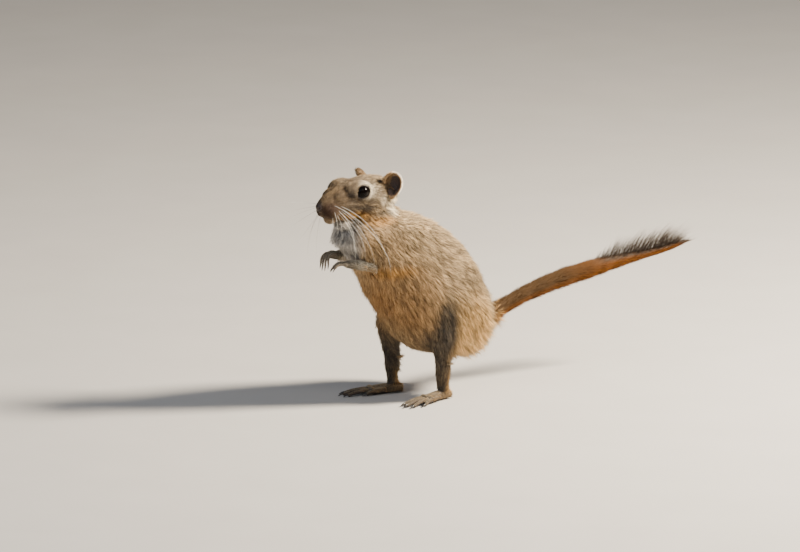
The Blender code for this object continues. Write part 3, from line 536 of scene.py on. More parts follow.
def nose_finish(name):
    """Damp, dark, finely pebbled skin."""
    finish = Finish(name, Roughness=0.38, Specular_IOR_Level=0.4)
    where = finish.places()
    scale = 1 / (0.35 * MM)
    pebbles = finish.node("ShaderNodeTexVoronoi", {}, {"Vector": where, "Scale": scale})
    finish.bump(pebbles, 0.4, 0.12)
    tone = finish.fade(finish.noise(where, 1.6, 2.0), 0.3, 0.7)
    return finish.painted(finish.mix(*NOSE_TONES, tone))


def ear_finish(name):
    """Thin ear skin: painted shade in the cup, pale buff outside, with a pale rim."""
    finish = Finish(name, Roughness=0.55, Specular_IOR_Level=0.35)
    fine = finish.noise(finish.places(), 0.6, 3.0)
    finish.bump(fine, 0.5, 0.2)
    inside = finish.mix(*CUP_SHADE_TONES, finish.fade(fine, 0.3, 0.7))
    colour = finish.mix(EAR_BACK, inside, finish.attribute("cup"))
    return finish.painted(finish.mix(colour, EAR_RIM, finish.attribute("rim")))


def plain_hair_finish(name, tones):
    """Hair between two tones, chosen hair by hair."""
    finish = Finish(name, Roughness=0.5, Specular_IOR_Level=0.3)
    colour = finish.mix(*tones, finish.attribute("chance"))
    middle = finish.fade(finish.attribute("along"), 0.0, 0.4)
    return finish.painted(finish.mix(finish.times(colour, 0.6), colour, middle))


def lid_finish(name):
    """Skin round the eye: black on the rim, the coat's colours beyond it."""
    finish = Finish(name, Roughness=0.5, Specular_IOR_Level=0.3)
    where = finish.places()
    fold = finish.noise(where, 0.5, 2.0)
    finish.bump(fold, 0.4, 0.15)
    colour = finish.times(coat_colours(finish, where)[0], 0.75)
    return finish.painted(finish.mix(colour, finish.mix(*LID_TONES, fold), finish.attribute("rim")))


def mottled_finish(name, tones, size_mm, detail=2.0, edges=None, relief=None, **constants):
    """Two tones in soft spots, for the eye, the claws and the floor."""
    finish = Finish(name, **constants)
    mottle = finish.noise(finish.places(), size_mm, detail)
    if relief:
        finish.bump(mottle, *relief)
    return finish.painted(finish.mix(*tones, finish.fade(mottle, *edges) if edges else mottle))


def mesh_from_arrays(name, points, faces):
    """A mesh from arrays of points and triangles."""
    mesh = bpy.data.meshes.new(name)
    mesh.vertices.add(len(points))
    mesh.vertices.foreach_set("co", points.astype(np.float32).ravel())
    mesh.loops.add(faces.size)
    mesh.loops.foreach_set("vertex_index", faces.astype(np.int32).ravel())
    mesh.polygons.add(len(faces))
    mesh.polygons.foreach_set("loop_start", np.arange(0, faces.size, 3, dtype=np.int32))
    mesh.update(calc_edges=True)
    mesh.shade_smooth()
    return mesh


def store(mesh, name, values, kind="FLOAT"):
    """A number or a vector for each point of a mesh."""
    layer = mesh.attributes.new(name, kind, "POINT")
    field = "vector" if kind == "FLOAT_VECTOR" else "value"
    layer.data.foreach_set(field, np.asarray(values, np.float32).ravel())


def add_piece(name, mesh, material):
    """A finished piece of the model that rides on its one body."""
    mesh.name = name
    mesh.materials.clear()
    mesh.materials.append(material)
    piece = bpy.data.objects.new(name, mesh)
    bpy.context.scene.collection.objects.link(piece)
    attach(piece, "root")
    return piece


def node_copy(name, swell_mm=0.0):
    """A merged copy of a CAD node's mesh, grown outwards a little."""
    shape = opened(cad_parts[name].data)
    bmesh.ops.remove_doubles(shape, verts=shape.verts, dist=0.001 * MM)
    shape.normal_update()
    for point in shape.verts:
        point.co += point.normal * swell_mm * MM
    return shape


def finished(shape):
    """A mesh made from a bmesh, which is freed."""
    mesh = bpy.data.meshes.new("shape")
    shape.to_mesh(mesh)
    shape.free()
    return mesh


def opened(mesh):
    """A bmesh made from a mesh."""
    shape = bmesh.new()
    shape.from_mesh(mesh)
    return shape


def turned_out(mesh):
    """The mesh with its faces turned outwards and shaded smoothly."""
    shape = opened(mesh)
    bmesh.ops.recalc_face_normals(shape, faces=shape.faces)
    result = finished(shape)
    result.shade_smooth()
    return result


def cut_off(shape, spot, way):
    """Take away what lies beyond a plane, and close the shape there."""
    everything = shape.verts[:] + shape.edges[:] + shape.faces[:]
    bmesh.ops.bisect_plane(shape, geom=everything, plane_co=spot, plane_no=way, clear_outer=True)
    bmesh.ops.holes_fill(shape, edges=[edge for edge in shape.edges if edge.is_boundary], sides=0)


def ring_faces(rings, sides, around=False):
    """Triangles between rings of points; around joins the last ring to the first."""
    faces = []
    for ring in range(rings if around else rings - 1):
        start, after = ring * sides, (ring + 1) % rings * sides
        for index in range(sides):
            beside = (index + 1) % sides
            faces.append((start + index, start + beside, after + beside))
            faces.append((start + index, after + beside, after + index))
    return faces


def ray_tree(mesh):
    """A mesh as a tree that rays can be cast at."""
    points = [tuple(point.co) for point in mesh.vertices]
    return BVHTree.FromPolygons(points, [tuple(face.vertices) for face in mesh.polygons])


def set_places(mesh, places):
    """Move a mesh's points to new places."""
    mesh.vertices.foreach_set("co", places.astype(np.float32).ravel())
    mesh.update()
    return mesh


def with_modifiers(mesh, steps):
    """The mesh after a list of modifiers, each with its settings."""
    helper = bpy.data.objects.new("helper", mesh)
    bpy.context.scene.collection.objects.link(helper)
    for kind, settings in steps:
        modifier = helper.modifiers.new(kind, kind)
        for key, value in settings.items():
            setattr(modifier, key, value)
    seen = helper.evaluated_get(bpy.context.evaluated_depsgraph_get())
    result = bpy.data.meshes.new_from_object(seen)
    bpy.data.objects.remove(helper)
    return result


def joined(meshes):
    """Several meshes as one."""
    together = bmesh.new()
    for mesh in meshes:
        together.from_mesh(mesh)
        bpy.data.meshes.remove(mesh)
    return finished(together)


def even_skin(names, voxel_mm, smoothing, fillers=(), swell_mm=NODE_SWELL):
    """One even skin round several CAD nodes, with the gaps between them closed."""
    copies = [finished(node_copy(name, swell_mm)) for name in names]
    steps = [
        ("REMESH", {"mode": "VOXEL", "voxel_size": voxel_mm * MM}),
        ("SMOOTH", {"factor": 0.5, "iterations": smoothing}),
    ]
    return largest_body(with_modifiers(joined(copies + list(fillers)), steps))


def beads(points, radii, count=14):
    """A row of balls along a bend through three points; a remesh makes it a toe."""
    start, middle, end = points
    shape = bmesh.new()
    for index in range(count):
        t = index / (count - 1)
        centre = start * (1 - t) * (1 - 2 * t) + middle * 4 * t * (1 - t) + end * t * (2 * t - 1)
        radius = np.interp(t, (0, 0.5, 1), radii) * MM
        bmesh.ops.create_icosphere(shape, subdivisions=2, radius=radius, matrix=Matrix.Translation(centre))
    return finished(shape)


def cut_copy(name, spot, forward):
    """A copy of a CAD node that ends at a plane, closed there."""
    shape = node_copy(name)
    cut_off(shape, spot, forward)
    return finished(shape)


def toe_shapes(side):
    """The toes of a hind foot as rows of balls, thinner than the solids by the coat."""
    shapes = []
    for outward, start, length, splay in TOES:
        base = on_foot(side, start - TOE_OVERLAP, outward * 0.72, TOE_HEIGHTS[0])
        knuckle = on_foot(side, start + length * 0.42, outward, TOE_HEIGHTS[1])
        tip = on_foot(side, start + length - 0.3, outward + splay, TOE_HEIGHTS[2])
        shapes.append(beads((base, knuckle, tip), TOE_RADII))
    shapes.append(beads([on_foot(side, *spot) for spot in FOOT_BALL], FOOT_BALL_RADII))
    return shapes


def finger_shapes(side):
    """The fingers of a hand as rows of balls."""
    _, wrist, knuckles, tip = (place(x, out * SIDES[side], z) for x, out, z in ARMS[side])
    along = (knuckles - wrist).normalized()
    across = Vector((0, 0, 1)).cross(along).normalized() * -SIDES[side]
    shapes = []
    for spread, share in FINGERS:
        start = knuckles + across * spread * 0.9 * MM - along * MM
        end = knuckles + (tip - knuckles) * share + across * spread * 1.15 * MM
        middle = start.lerp(end, 0.5) + along * 1.2 * MM + Vector((0, 0, 0.8 * MM))
        shapes.append(beads((start, middle, end), FINGER_RADII))
    return shapes


def egg(centre, radii):
    """An egg shape on the head, as a mesh."""
    shape = bmesh.new()
    bmesh.ops.create_icosphere(shape, subdivisions=4, radius=MM)
    stretch = Matrix.Diagonal((*radii, 1.0))
    bmesh.ops.transform(
        shape, verts=shape.verts, matrix=head_matrix() @ Matrix.Translation(Vector(centre) * MM) @ stretch
    )
    return finished(shape)


def soft_face(mesh):
    """The head's skin with the steps between brow and snout smoothed away."""
    shape = opened(mesh)
    back = head_matrix().inverted()
    eyes = [on_head(EYE[0], EYE[1] * left, EYE[2]) for left in (-1, 1)]
    reach = {}
    for point in shape.verts:
        own = back @ point.co / MM - Vector(SOFT_FACE[0])
        away = math.sqrt(sum((own[axis] / SOFT_FACE[1][axis]) ** 2 for axis in range(3)))
        if away < 1 and min((point.co - eye).length for eye in eyes) > LID_REACH * MM:
            reach[point] = 1 - away
    axes = {f"use_axis_{axis}": True for axis in "xyz"}
    for step in range(SOFT_STEPS):
        chosen = [point for point, depth in reach.items() if depth > 0.35 * step / SOFT_STEPS]
        bmesh.ops.smooth_vert(shape, verts=chosen, factor=0.5, **axes)
    return finished(shape)


def largest_body(mesh):
    """The largest connected surface of a mesh."""
    shape = opened(mesh)
    remaining, islands = set(shape.verts), []
    while remaining:
        front = [remaining.pop()]
        island = list(front)
        while front:
            for edge in front.pop().link_edges:
                for far in edge.verts:
                    if far in remaining:
                        remaining.discard(far)
                        island.append(far)
                        front.append(far)
        islands.append(island)
    islands.sort(key=len, reverse=True)
    bmesh.ops.delete(shape, geom=[point for island in islands[1:] for point in island], context="VERTS")
    bmesh.ops.triangulate(shape, faces=shape.faces)
    return finished(shape)


def point_arrays(mesh):
    """Places and normals of a mesh's points."""
    places = np.empty(len(mesh.vertices) * 3, np.float32)
    normals = np.empty(len(mesh.vertices) * 3, np.float32)
    mesh.vertices.foreach_get("co", places)
    mesh.vertex_normals.foreach_get("vector", normals)
    return places.reshape(-1, 3).astype(float), normals.reshape(-1, 3).astype(float)


def unit(vectors):
    """Vectors of length one."""
    return vectors / np.maximum(np.linalg.norm(vectors, axis=1, keepdims=True), 1e-9)


class Coat:
    """A coat given by guides: place, way the hair lies, length and lift."""

    # Points worked on at once, and how softly one guide blends into the next
    BATCH, BLEND = 20000, 2.5

    def __init__(self, guides):
        self.places = np.array([tuple(guide[0]) for guide in guides])
        self.ways = unit(np.array([tuple(guide[1]) for guide in guides]))
        self.lengths = np.array([guide[2] for guide in guides]) * MM
        self.lifts = np.radians([guide[3] for guide in guides])

    def at(self, points):
        """Way, length and lift of the hair at each point."""
        ways, (lengths, lifts) = np.empty((len(points), 3)), np.empty((2, len(points)))
        for start in range(0, len(points), self.BATCH):
            part = slice(start, start + self.BATCH)
            apart = ((points[part, None, :] - self.places[None]) ** 2).sum(axis=2)
            weight = 1.0 / (apart + (self.BLEND * MM) ** 2) ** 2
            weight /= weight.sum(axis=1, keepdims=True)
            ways[part] = weight @ self.ways
            lengths[part], lifts[part] = weight @ self.lengths, weight @ self.lifts
        return unit(ways), lengths, lifts


def body_guides():
    """Guides of head and trunk, on both sides."""
    guides = []
    for (forward, out, up), (ahead, outwards, rise), length, lift in HEAD_COAT:
        for left in (-1, 1):
            spot, way = on_head(forward, out * left, up), head_way(ahead, outwards * left, rise)
            guides.append((spot, way, length, lift))
    for (x, out, z), (back, outwards, rise), length, lift in BODY_COAT:
        for side in SIDES.values():
            guides.append((place(x, out * side, z), Vector((back, outwards * side, rise)), length, lift))
    return guides


def leg_guides(side):
    """Guides of a shank and its foot."""
    _, forward, outward = foot_frame(side)
    guides = []
    for spot, (ahead, out, rise), length, lift in LEG_COAT:
        way = forward * ahead + outward * out + Vector((0, 0, rise))
        guides.append((on_foot(side, *spot), way, length, lift))
    return guides


def arm_guides(side):
    """Guides from the elbow to the finger tips."""
    joints = [place(x, out * SIDES[side], z) for x, out, z in ARMS[side]]
    ways = [joints[1] - joints[0], joints[1] - joints[0], joints[2] - joints[1], joints[3] - joints[2]]
    return [(joint, way, length, ARM_LIFT) for joint, way, length in zip(joints, ways, ARM_COAT)]


def sink(mesh, coat):
    """Move a skin inwards to leave room for the coat."""
    places, normals = point_arrays(mesh)
    _, lengths, lifts = coat.at(places)
    return set_places(mesh, places - normals * (SINK_SHARE * lengths * np.sin(lifts))[:, None])


def scatter(mesh, wild, per_square_mm):
    """Random places on a mesh, with their normals."""
    places, normals = point_arrays(mesh)
    corners = np.empty(len(mesh.polygons) * 3, np.int32)
    mesh.polygons.foreach_get("vertices", corners)
    corners = corners.reshape(-1, 3)
    a, b, c = (places[corners[:, k]] for k in range(3))
    areas = np.linalg.norm(np.cross(b - a, c - a), axis=1) / 2
    wanted = areas * per_square_mm((a + b + c) / 3) / MM ** 2
    counts = np.floor(wanted + wild.random(len(wanted))).astype(int)
    chosen = np.repeat(np.arange(len(wanted)), counts)
    shares = wild.random((len(chosen), 2))
    over = shares.sum(axis=1) > 1
    shares[over] = 1 - shares[over]
    weights = np.column_stack([1 - shares.sum(axis=1), shares])
    roots = sum(places[corners[chosen, k]] * weights[:, k, None] for k in range(3))
    outward = sum(normals[corners[chosen, k]] * weights[:, k, None] for k in range(3))
    return roots, unit(outward)


def grain(points, size_mm, seed):
    """Smooth random numbers from 0 to 1 at places in space."""
    table = np.random.default_rng(seed).random((32, 32, 32))
    spot = points / (size_mm * MM)
    whole = np.floor(spot).astype(int)
    part = spot - whole
    part = part * part * (3 - 2 * part)
    total = np.zeros(len(points))
    for corner in ((i, j, k) for i in (0, 1) for j in (0, 1) for k in (0, 1)):
        weight = np.prod(np.where(corner, part, 1 - part), axis=1)
        total += weight * table[tuple(((whole + corner) % 32).T)]
    return np.clip((total - 0.5) * 2.2 + 0.5, 0, 1)


def streaks(points, lies, across_mm=1.0, along=6.0, cell_mm=12.0):
    """Random numbers that are drawn out along the lie of the coat."""
    cells = np.round(points / (cell_mm * MM)) * cell_mm * MM
    offset = points - cells
    offset = offset - lies * (offset * lies).sum(axis=1, keepdims=True) * (1 - 1 / along)
    return grain(cells * 1.7 + offset, across_mm, 3)


def combed(roots, normals, coat, wild, density, lock_mm=0.8, gather=0.7):
    """The way each hair runs from root to tip and its lock's number from 0 to 1.

    Hairs are gathered into narrow locks, which differ in swerve, lift and
    length, so that they lie over one another; every seventh hair stays free.
    """
    lies, lengths, lifts = coat.at(roots)
    lies = unit(lies - normals * (lies * normals).sum(axis=1, keepdims=True))
    across = np.cross(normals, lies)
    swerve = 0.30 * (grain(roots, 14.0, 1) - 0.5) + 0.24 * (grain(roots, 4.5, 2) - 0.5)
    streak = streaks(roots, lies)
    spacing = np.clip(0.10 * lengths + 0.28 * MM, 0.42 * MM, lock_mm * MM)
    centres = np.flatnonzero(wild.random(len(roots)) < MM ** 2 / (density * spacing ** 2))
    tree = kdtree.KDTree(len(centres))
    for number, index in enumerate(centres):
        tree.insert(roots[index], number)
    tree.balance()
    nearest = np.array([tree.find(root)[1] for root in roots])
    lock_swerve, lock_lift = wild.normal(0, 0.10, len(centres)), wild.normal(1, 0.26, len(centres))
    lock_length, tone = wild.uniform(0.78, 1.10, len(centres)), wild.random(len(centres))

    free = wild.random(len(roots)) < 0.14
    turn = swerve + lock_swerve[nearest] + wild.normal(0, 0.07, len(roots)) * (1 + 2 * free)
    rise = lock_lift[nearest] + wild.normal(0, 0.12, len(roots)) + 0.35 * free + 0.7 * (streak - 0.5)
    rise = lifts * np.clip(rise, 0.25, 2.2)
    reach = lengths * lock_length[nearest] * wild.uniform(0.95, 1.2, len(roots)) * (1 + 0.16 * free)
    lies = lies * np.cos(turn)[:, None] + across * np.sin(turn)[:, None]
    ways = (lies * np.cos(rise)[:, None] + normals * np.sin(rise)[:, None]) * reach[:, None]
    shared = roots[centres[nearest]] + ways[centres[nearest]] - roots - ways
    pull = gather * wild.uniform(0.6, 1.1, len(roots)) * ~free
    pull = pull * (np.linalg.norm(shared, axis=1) < lengths * 0.6)
    return ways + shared * pull[:, None], tone[nearest] * 0.45 + streak * 0.55


def unwrapped(roots, origin, axis):
    """Each root's place on an unwrap of the skin round an axis, filling the map."""
    axis = np.array(Vector(axis).normalized())
    first = np.cross(axis, (0.0, 1.0, 0.0))
    second = np.cross(axis, first)
    offsets = roots - np.array(origin)
    turn = np.arctan2(offsets @ second, offsets @ first)
    flat = np.column_stack([turn, offsets @ axis])
    low, high = flat.min(axis=0), flat.max(axis=0)
    return 0.004 + 0.992 * (flat - low) / np.maximum(high - low, 1e-9)


def tufts(name, roots, ways, widths, wild, material, slot, bends=None, rings=1, flat=None, **extra):
    """Closed three-sided tapered tufts, one from each root, as one piece."""
    count = len(roots)
    bends = np.zeros((count, 3)) if bends is None else bends
    along = unit(ways)
    upright = np.where(np.abs(along[:, 2:]) < 0.9, [[0.0, 0.0, 1.0]], [[1.0, 0.0, 0.0]])
    side = unit(np.cross(along, upright))
    rise = np.cross(along, side)
    spin = wild.uniform(0, math.tau, count)
    corners = []
    for ring in range(rings):
        share = ring / rings
        middle = roots + ways * share + bends * share ** 2
        thickness = widths * (1 - share) ** 0.7
        for corner in range(3):
            angle = spin + math.tau * corner / 3
            reach = side * np.cos(angle)[:, None] + rise * np.sin(angle)[:, None]
            corners.append(middle + reach * thickness[:, None])
    corners.append(roots + ways + bends)
    points = np.stack(corners, axis=1)
    step = points.shape[1]
    faces = [(0, 2, 1)] + ring_faces(rings, 3)
    last = rings * 3
    faces += [(last - 3, last - 2, last), (last - 2, last - 1, last), (last - 1, last - 3, last)]
    faces = np.array(faces)
    every = (np.arange(count)[:, None, None] * step + faces[None]).reshape(-1, 3)
    mesh = mesh_from_arrays(name, points.reshape(-1, 3), every)
    along_share = np.append(np.repeat(np.arange(rings) / rings, 3), 1.0)
    store(mesh, "along", np.tile(along_share, count))
    store(mesh, "chance", np.repeat(wild.random(count), step))
    store(mesh, "root", np.repeat(roots, step, axis=0), "FLOAT_VECTOR")
    for key, values in extra.items():
        store(mesh, key, np.repeat(values, step))
    flat = unwrapped(roots, roots.mean(axis=0), (0, 0, 1)) if flat is None else flat
    corner_shift = np.tile([(-0.0014, -0.0014), (0.0014, -0.0014), (0.0, -0.0006)], (rings, 1))
    corner_shift[:, 1] += np.repeat(np.arange(rings) / rings, 3) * 0.0026
    patch = np.vstack([corner_shift, [(0.0, 0.0015)]])
    spots = (flat[:, None, :] + patch[None]).reshape(-1, 2)
    layer = mesh.uv_layers.new(name="OFBake")
    layer.uv.foreach_set("vector", spots[every.ravel()].astype(np.float32).ravel())
    return add_piece(name, mesh, material)


def hair_width(lengths):
    """Half the width of a tuft at its root, from its length."""
    return 0.045 * MM + 0.013 * lengths


def bands(values, most):
    """Split indexes into equal bands along a value, each with at most so many."""
    order = np.argsort(values)
    return np.array_split(order, max(1, math.ceil(len(order) / most)))


TRUNK_NODES = [
    "neck", "chest", "belly", "rump", "shoulder_left", "shoulder_right", "thigh_left", "thigh_right",
    "shank_left", "shank_right", "forearm_left", "forearm_right",
]
NECK_PLANE = ((18, 130), (-32, 114))
# How far the head's skin goes past the neck plane, in mm.
RIM_REACH = 1.2
TUFTS_IN_A_PIECE = 46000


def neck_plane():
    """A spot on the plane through the neck, and its way up."""
    (back_x, back_z), (front_x, front_z) = NECK_PLANE
    back, front = place(back_x, 0, back_z), place(front_x, 0, front_z)
    across = (back - front).normalized()
    return back, Vector((-across.z, 0, across.x))


def over_the_neck_plane(points):
    """True for what belongs to the head's side of the neck."""
    spot, upwards = neck_plane()
    return (points - np.array(spot)) @ np.array(upwards) > 0


def end_at_the_neck(head):
    """End the head's skin just past the neck plane, closed, under the coat's overlap."""
    spot, upwards = neck_plane()
    shape = opened(head)
    bpy.data.meshes.remove(head)
    cut_off(shape, spot - upwards * RIM_REACH * MM, -upwards)
    bmesh.ops.triangulate(shape, faces=shape.faces[:])
    return finished(shape)


def build_head_and_body():
    """Skin and coat of the head and trunk, and the lids on them."""
    coat, wild = Coat(body_guides()), np.random.default_rng(5)
    skin, hair = skin_finish("gerbil_skin"), coat_finish("gerbil_coat")
    fillers = [egg((x, out * left, z), radii) for (x, out, z), radii in HEAD_FILLERS for left in (-1, 1)]
    head = end_at_the_neck(sink(soft_face(even_skin(["head", "neck"], *HEAD_MESH, fillers)), coat))
    body = sink(even_skin(TRUNK_NODES, *TRUNK_MESH), coat)
    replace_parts(add_piece("skin_head", head, skin), "head")
    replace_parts(add_piece("skin_body", body, skin), *TRUNK_NODES)
    build_lids(head, hair)
    mouth = build_nose_and_mouth(head)

    eyes = [np.array(on_head(EYE[0], EYE[1] * left, EYE[2])) for left in (-1, 1)]
    nose = np.array(on_head(*NOSE))
    head_axis, trunk_axis = head_way(1, 0, 0), place(62, 0, 25) - place(-5, 0, 130)
    for name, mesh, axis, origin in (
        ("coat_head", head, head_axis, place(*HEAD_PLACE)),
        ("coat_body", body, trunk_axis, place(-5, 0, 130)),
    ):
        roots, normals = scatter(mesh, wild, lambda points: coat_density(coat, points))
        keep = over_the_neck_plane(roots) == (name == "coat_head")
        keep &= roots[:, 2] > BODY_COAT_FLOOR * MM
        roots, normals = roots[keep], normals[keep]
        ways, locks = combed(roots, normals, coat, wild, coat_density(coat, roots))
        keep = np.linalg.norm(roots - nose, axis=1) > BARE_NOSE * MM
        apart = np.min([np.linalg.norm(roots - spot, axis=1) for spot in mouth], axis=0)
        keep &= apart > BARE_MOUTH * MM
        for eye in eyes:
            for points, reach in zip((roots, roots + ways, roots + ways / 2), BARE_EYE):
                keep &= np.linalg.norm(points - eye, axis=1) > reach * MM
        roots, ways, locks = roots[keep], ways[keep], locks[keep]
        widths = hair_width(np.linalg.norm(ways, axis=1))
        for number, band in enumerate(bands(roots[:, 2], TUFTS_IN_A_PIECE), start=1):
            tufts(
                f"{name}_{number}", roots[band], ways[band], widths[band], wild, hair, "coat",
                flat=unwrapped(roots[band], origin, axis), lock=locks[band],
            )


def build_nose_and_mouth(head):
    """Nose pad with its nostrils, and the dark line of the closed mouth."""
    pad = ball(1.0, 64, 48)
    places, _ = point_arrays(pad)
    (forward, left, up), radii = NOSE_PAD
    own = places @ np.array([(0, 0, radii[2]), (0, radii[1], 0), (radii[0], 0, 0)]) + (forward, left, up)
    aside, height = np.abs(own[:, 1]) - NOSTRIL[0], own[:, 2] - NOSTRIL[1]
    dent = 1.3 * np.exp(-((aside - 0.25 * height) / 0.42) ** 2 - (height / 0.62) ** 2)
    dent += 0.35 * np.exp(-(own[:, 1] / 0.3) ** 2) * np.clip((-1.5 - own[:, 2]) / 1.0, 0, 1)
    own[:, 0] -= dent * (own[:, 0] > forward)
    matrix = np.array(head_matrix())
    pad.vertices.foreach_set("co", (own * MM @ matrix[:3, :3].T + matrix[:3, 3]).astype(np.float32).ravel())
    finish = nose_finish("nose_skin")
    add_piece("nose_pad", turned_out(pad), finish)

    tree = ray_tree(head)
    spots, normals = [], []
    for step in range(-16, 17):
        share = abs(step) / 16
        angle = math.radians(MOUTH_SWING * step / 16)
        up = MOUTH_HEIGHTS[0] + (MOUTH_HEIGHTS[1] - MOUTH_HEIGHTS[0]) * share ** 1.5
        ahead, aside = math.cos(angle), math.sin(angle)
        start = on_head(MOUTH_CENTRE[0] + 30 * ahead, MOUTH_CENTRE[1] + 30 * aside, up)
        spot, normal, _, _ = tree.ray_cast(start, -head_way(ahead, aside, 0))
        spots.append(tuple(spot))
        normals.append(tuple(normal))
    lips = ribbon(spots, normals, 0.34, 0.24)
    add_piece("lip_line", lips, finish)
    cleft = [tree.ray_cast(on_head(70, 0, up), head_way(-1, 0, 0))[:2] for up in CLEFT_HEIGHTS]
    groove = ribbon([tuple(spot) for spot, _ in cleft], [tuple(normal) for _, normal in cleft], 0.24, 0.2)
    add_piece("lip_cleft", groove, finish)
    return np.array(spots + [tuple(spot) for spot, _ in cleft])


def ribbon(spots, normals, half_width_mm, half_height_mm, sides=8):
    """A closed flat cord along points on a surface, thin at both ends."""
    spots, normals = np.array(spots), unit(np.array(normals))
    along = unit(np.gradient(spots, axis=0))
    across = unit(np.cross(normals, along))
    taper = np.sqrt(np.sin(np.linspace(0.08, math.pi - 0.08, len(spots))))[:, None]
    rings = []
    for side in range(sides):
        angle = math.tau * side / sides
        reach = across * math.cos(angle) * half_width_mm + normals * math.sin(angle) * half_height_mm
        rings.append(spots + reach * taper * MM)
    return closed_tube(np.stack(rings, axis=1), spots[:1], spots[-1:])


def closed_tube(grid, start, end):
    """A mesh from rings of points (ring, place in the ring), closed at both ends."""
    rings, sides = grid.shape[:2]
    points = np.vstack([grid.reshape(-1, 3), start, end])
    faces = ring_faces(rings, sides)
    last = (rings - 1) * sides
    for index in range(sides):
        faces.append((len(points) - 2, (index + 1) % sides, index))
        faces.append((len(points) - 1, last + index, last + (index + 1) % sides))
    return turned_out(mesh_from_arrays("tube", points, np.array(faces)))


def coat_density(coat, points, most=COAT_DENSITY[2]):
    """Tufts on a square millimetre, more where the hair is short."""
    return np.clip(COAT_DENSITY[0] * MM / coat.at(points)[1], COAT_DENSITY[1], most)


def build_lids(head, hair):
    """Dark lid rims that hug the eyeballs, with a skirt of skin and short hair."""
    tree = ray_tree(head)
    finish = lid_finish("lid_skin")
    for side in SIDES:
        wild = np.random.default_rng(61)
        centre, gaze, along, rise = eye_frame(side)
        sections = []
        for index in range(LID_STEPS):
            angle = math.tau * index / LID_STEPS
            ahead, above = math.cos(angle), math.sin(angle)
            corner = LID_CORNERS[0] * max(0.0, ahead) ** 8 + LID_CORNERS[1] * max(0.0, -ahead) ** 8
            edge = along * (LID_OPENING[0] + corner) * ahead + rise * LID_OPENING[1] * above
            outward, inner = edge.normalized(), edge.length
            depth = math.sqrt(max(EYE_RADIUS ** 2 - inner ** 2, 0.8))
            hit = tree.ray_cast(centre + (outward * LID_REACH + gaze * 20) * MM, -gaze)[0]
            end = (hit - centre).dot(gaze) / MM - 0.3 if hit else depth - 1.5
            rows = (
                (inner - 0.1, depth - 1.2), (inner, depth), (inner + 0.20, depth + 0.26),
                (inner + 0.55, depth + 0.05), (LID_REACH * 0.92, depth * 0.35 + end * 0.65 + 0.1),
                (LID_REACH + 0.4, end), (LID_REACH, end - 2.0),
            )
            section = [centre + (outward * reach + gaze * height) * MM for reach, height in rows]
            sections.append([tuple(spot) for spot in section])
        sections = np.array(sections)
        faces = np.array(ring_faces(LID_STEPS, sections.shape[1], around=True))
        lid = turned_out(mesh_from_arrays("lid", sections.reshape(-1, 3), faces))
        store(lid, "rim", np.tile((1, 1, 1, 1, 0.25, 0, 0), LID_STEPS))
        add_piece(f"lid_{side}", lid, finish)

        turn, share = wild.uniform(0, LID_STEPS, LID_HAIRS), wild.random(LID_HAIRS) ** 0.8
        first, second = sections[turn.astype(int)], sections[(turn.astype(int) + 1) % LID_STEPS]
        ring = first + (second - first) * (turn % 1)[:, None, None]
        start, middle, end = ring[:, 3], ring[:, 4], ring[:, 5]
        near = np.where(share[:, None] < 0.6, start, middle)
        far = np.where(share[:, None] < 0.6, middle, end)
        step = np.where(share < 0.6, share / 0.6, (share - 0.6) / 0.4)
        roots = near + (far - near) * step[:, None]
        offsets, look = roots - np.array(centre), np.array(gaze)
        outward = unit(offsets - (offsets @ look)[:, None] * look)
        backwards = -np.array(along)
        lies = unit(outward * 0.8 + backwards * 0.8 + wild.normal(0, 0.12, (LID_HAIRS, 3)))
        lengths = (0.7 + 0.9 * share) * MM * wild.uniform(0.8, 1.2, LID_HAIRS)
        ways = unit(lies + look * 0.10) * lengths[:, None]
        keep = np.linalg.norm(roots + ways - np.array(centre), axis=1) > (EYE_RADIUS + 0.35) * MM
        roots, ways, lengths = roots[keep], ways[keep], lengths[keep]
        tufts(
            f"coat_lid_{side}", roots, ways, hair_width(lengths), wild, hair, "coat",
            flat=unwrapped(roots, centre, gaze), lock=wild.random(len(roots)),
        )


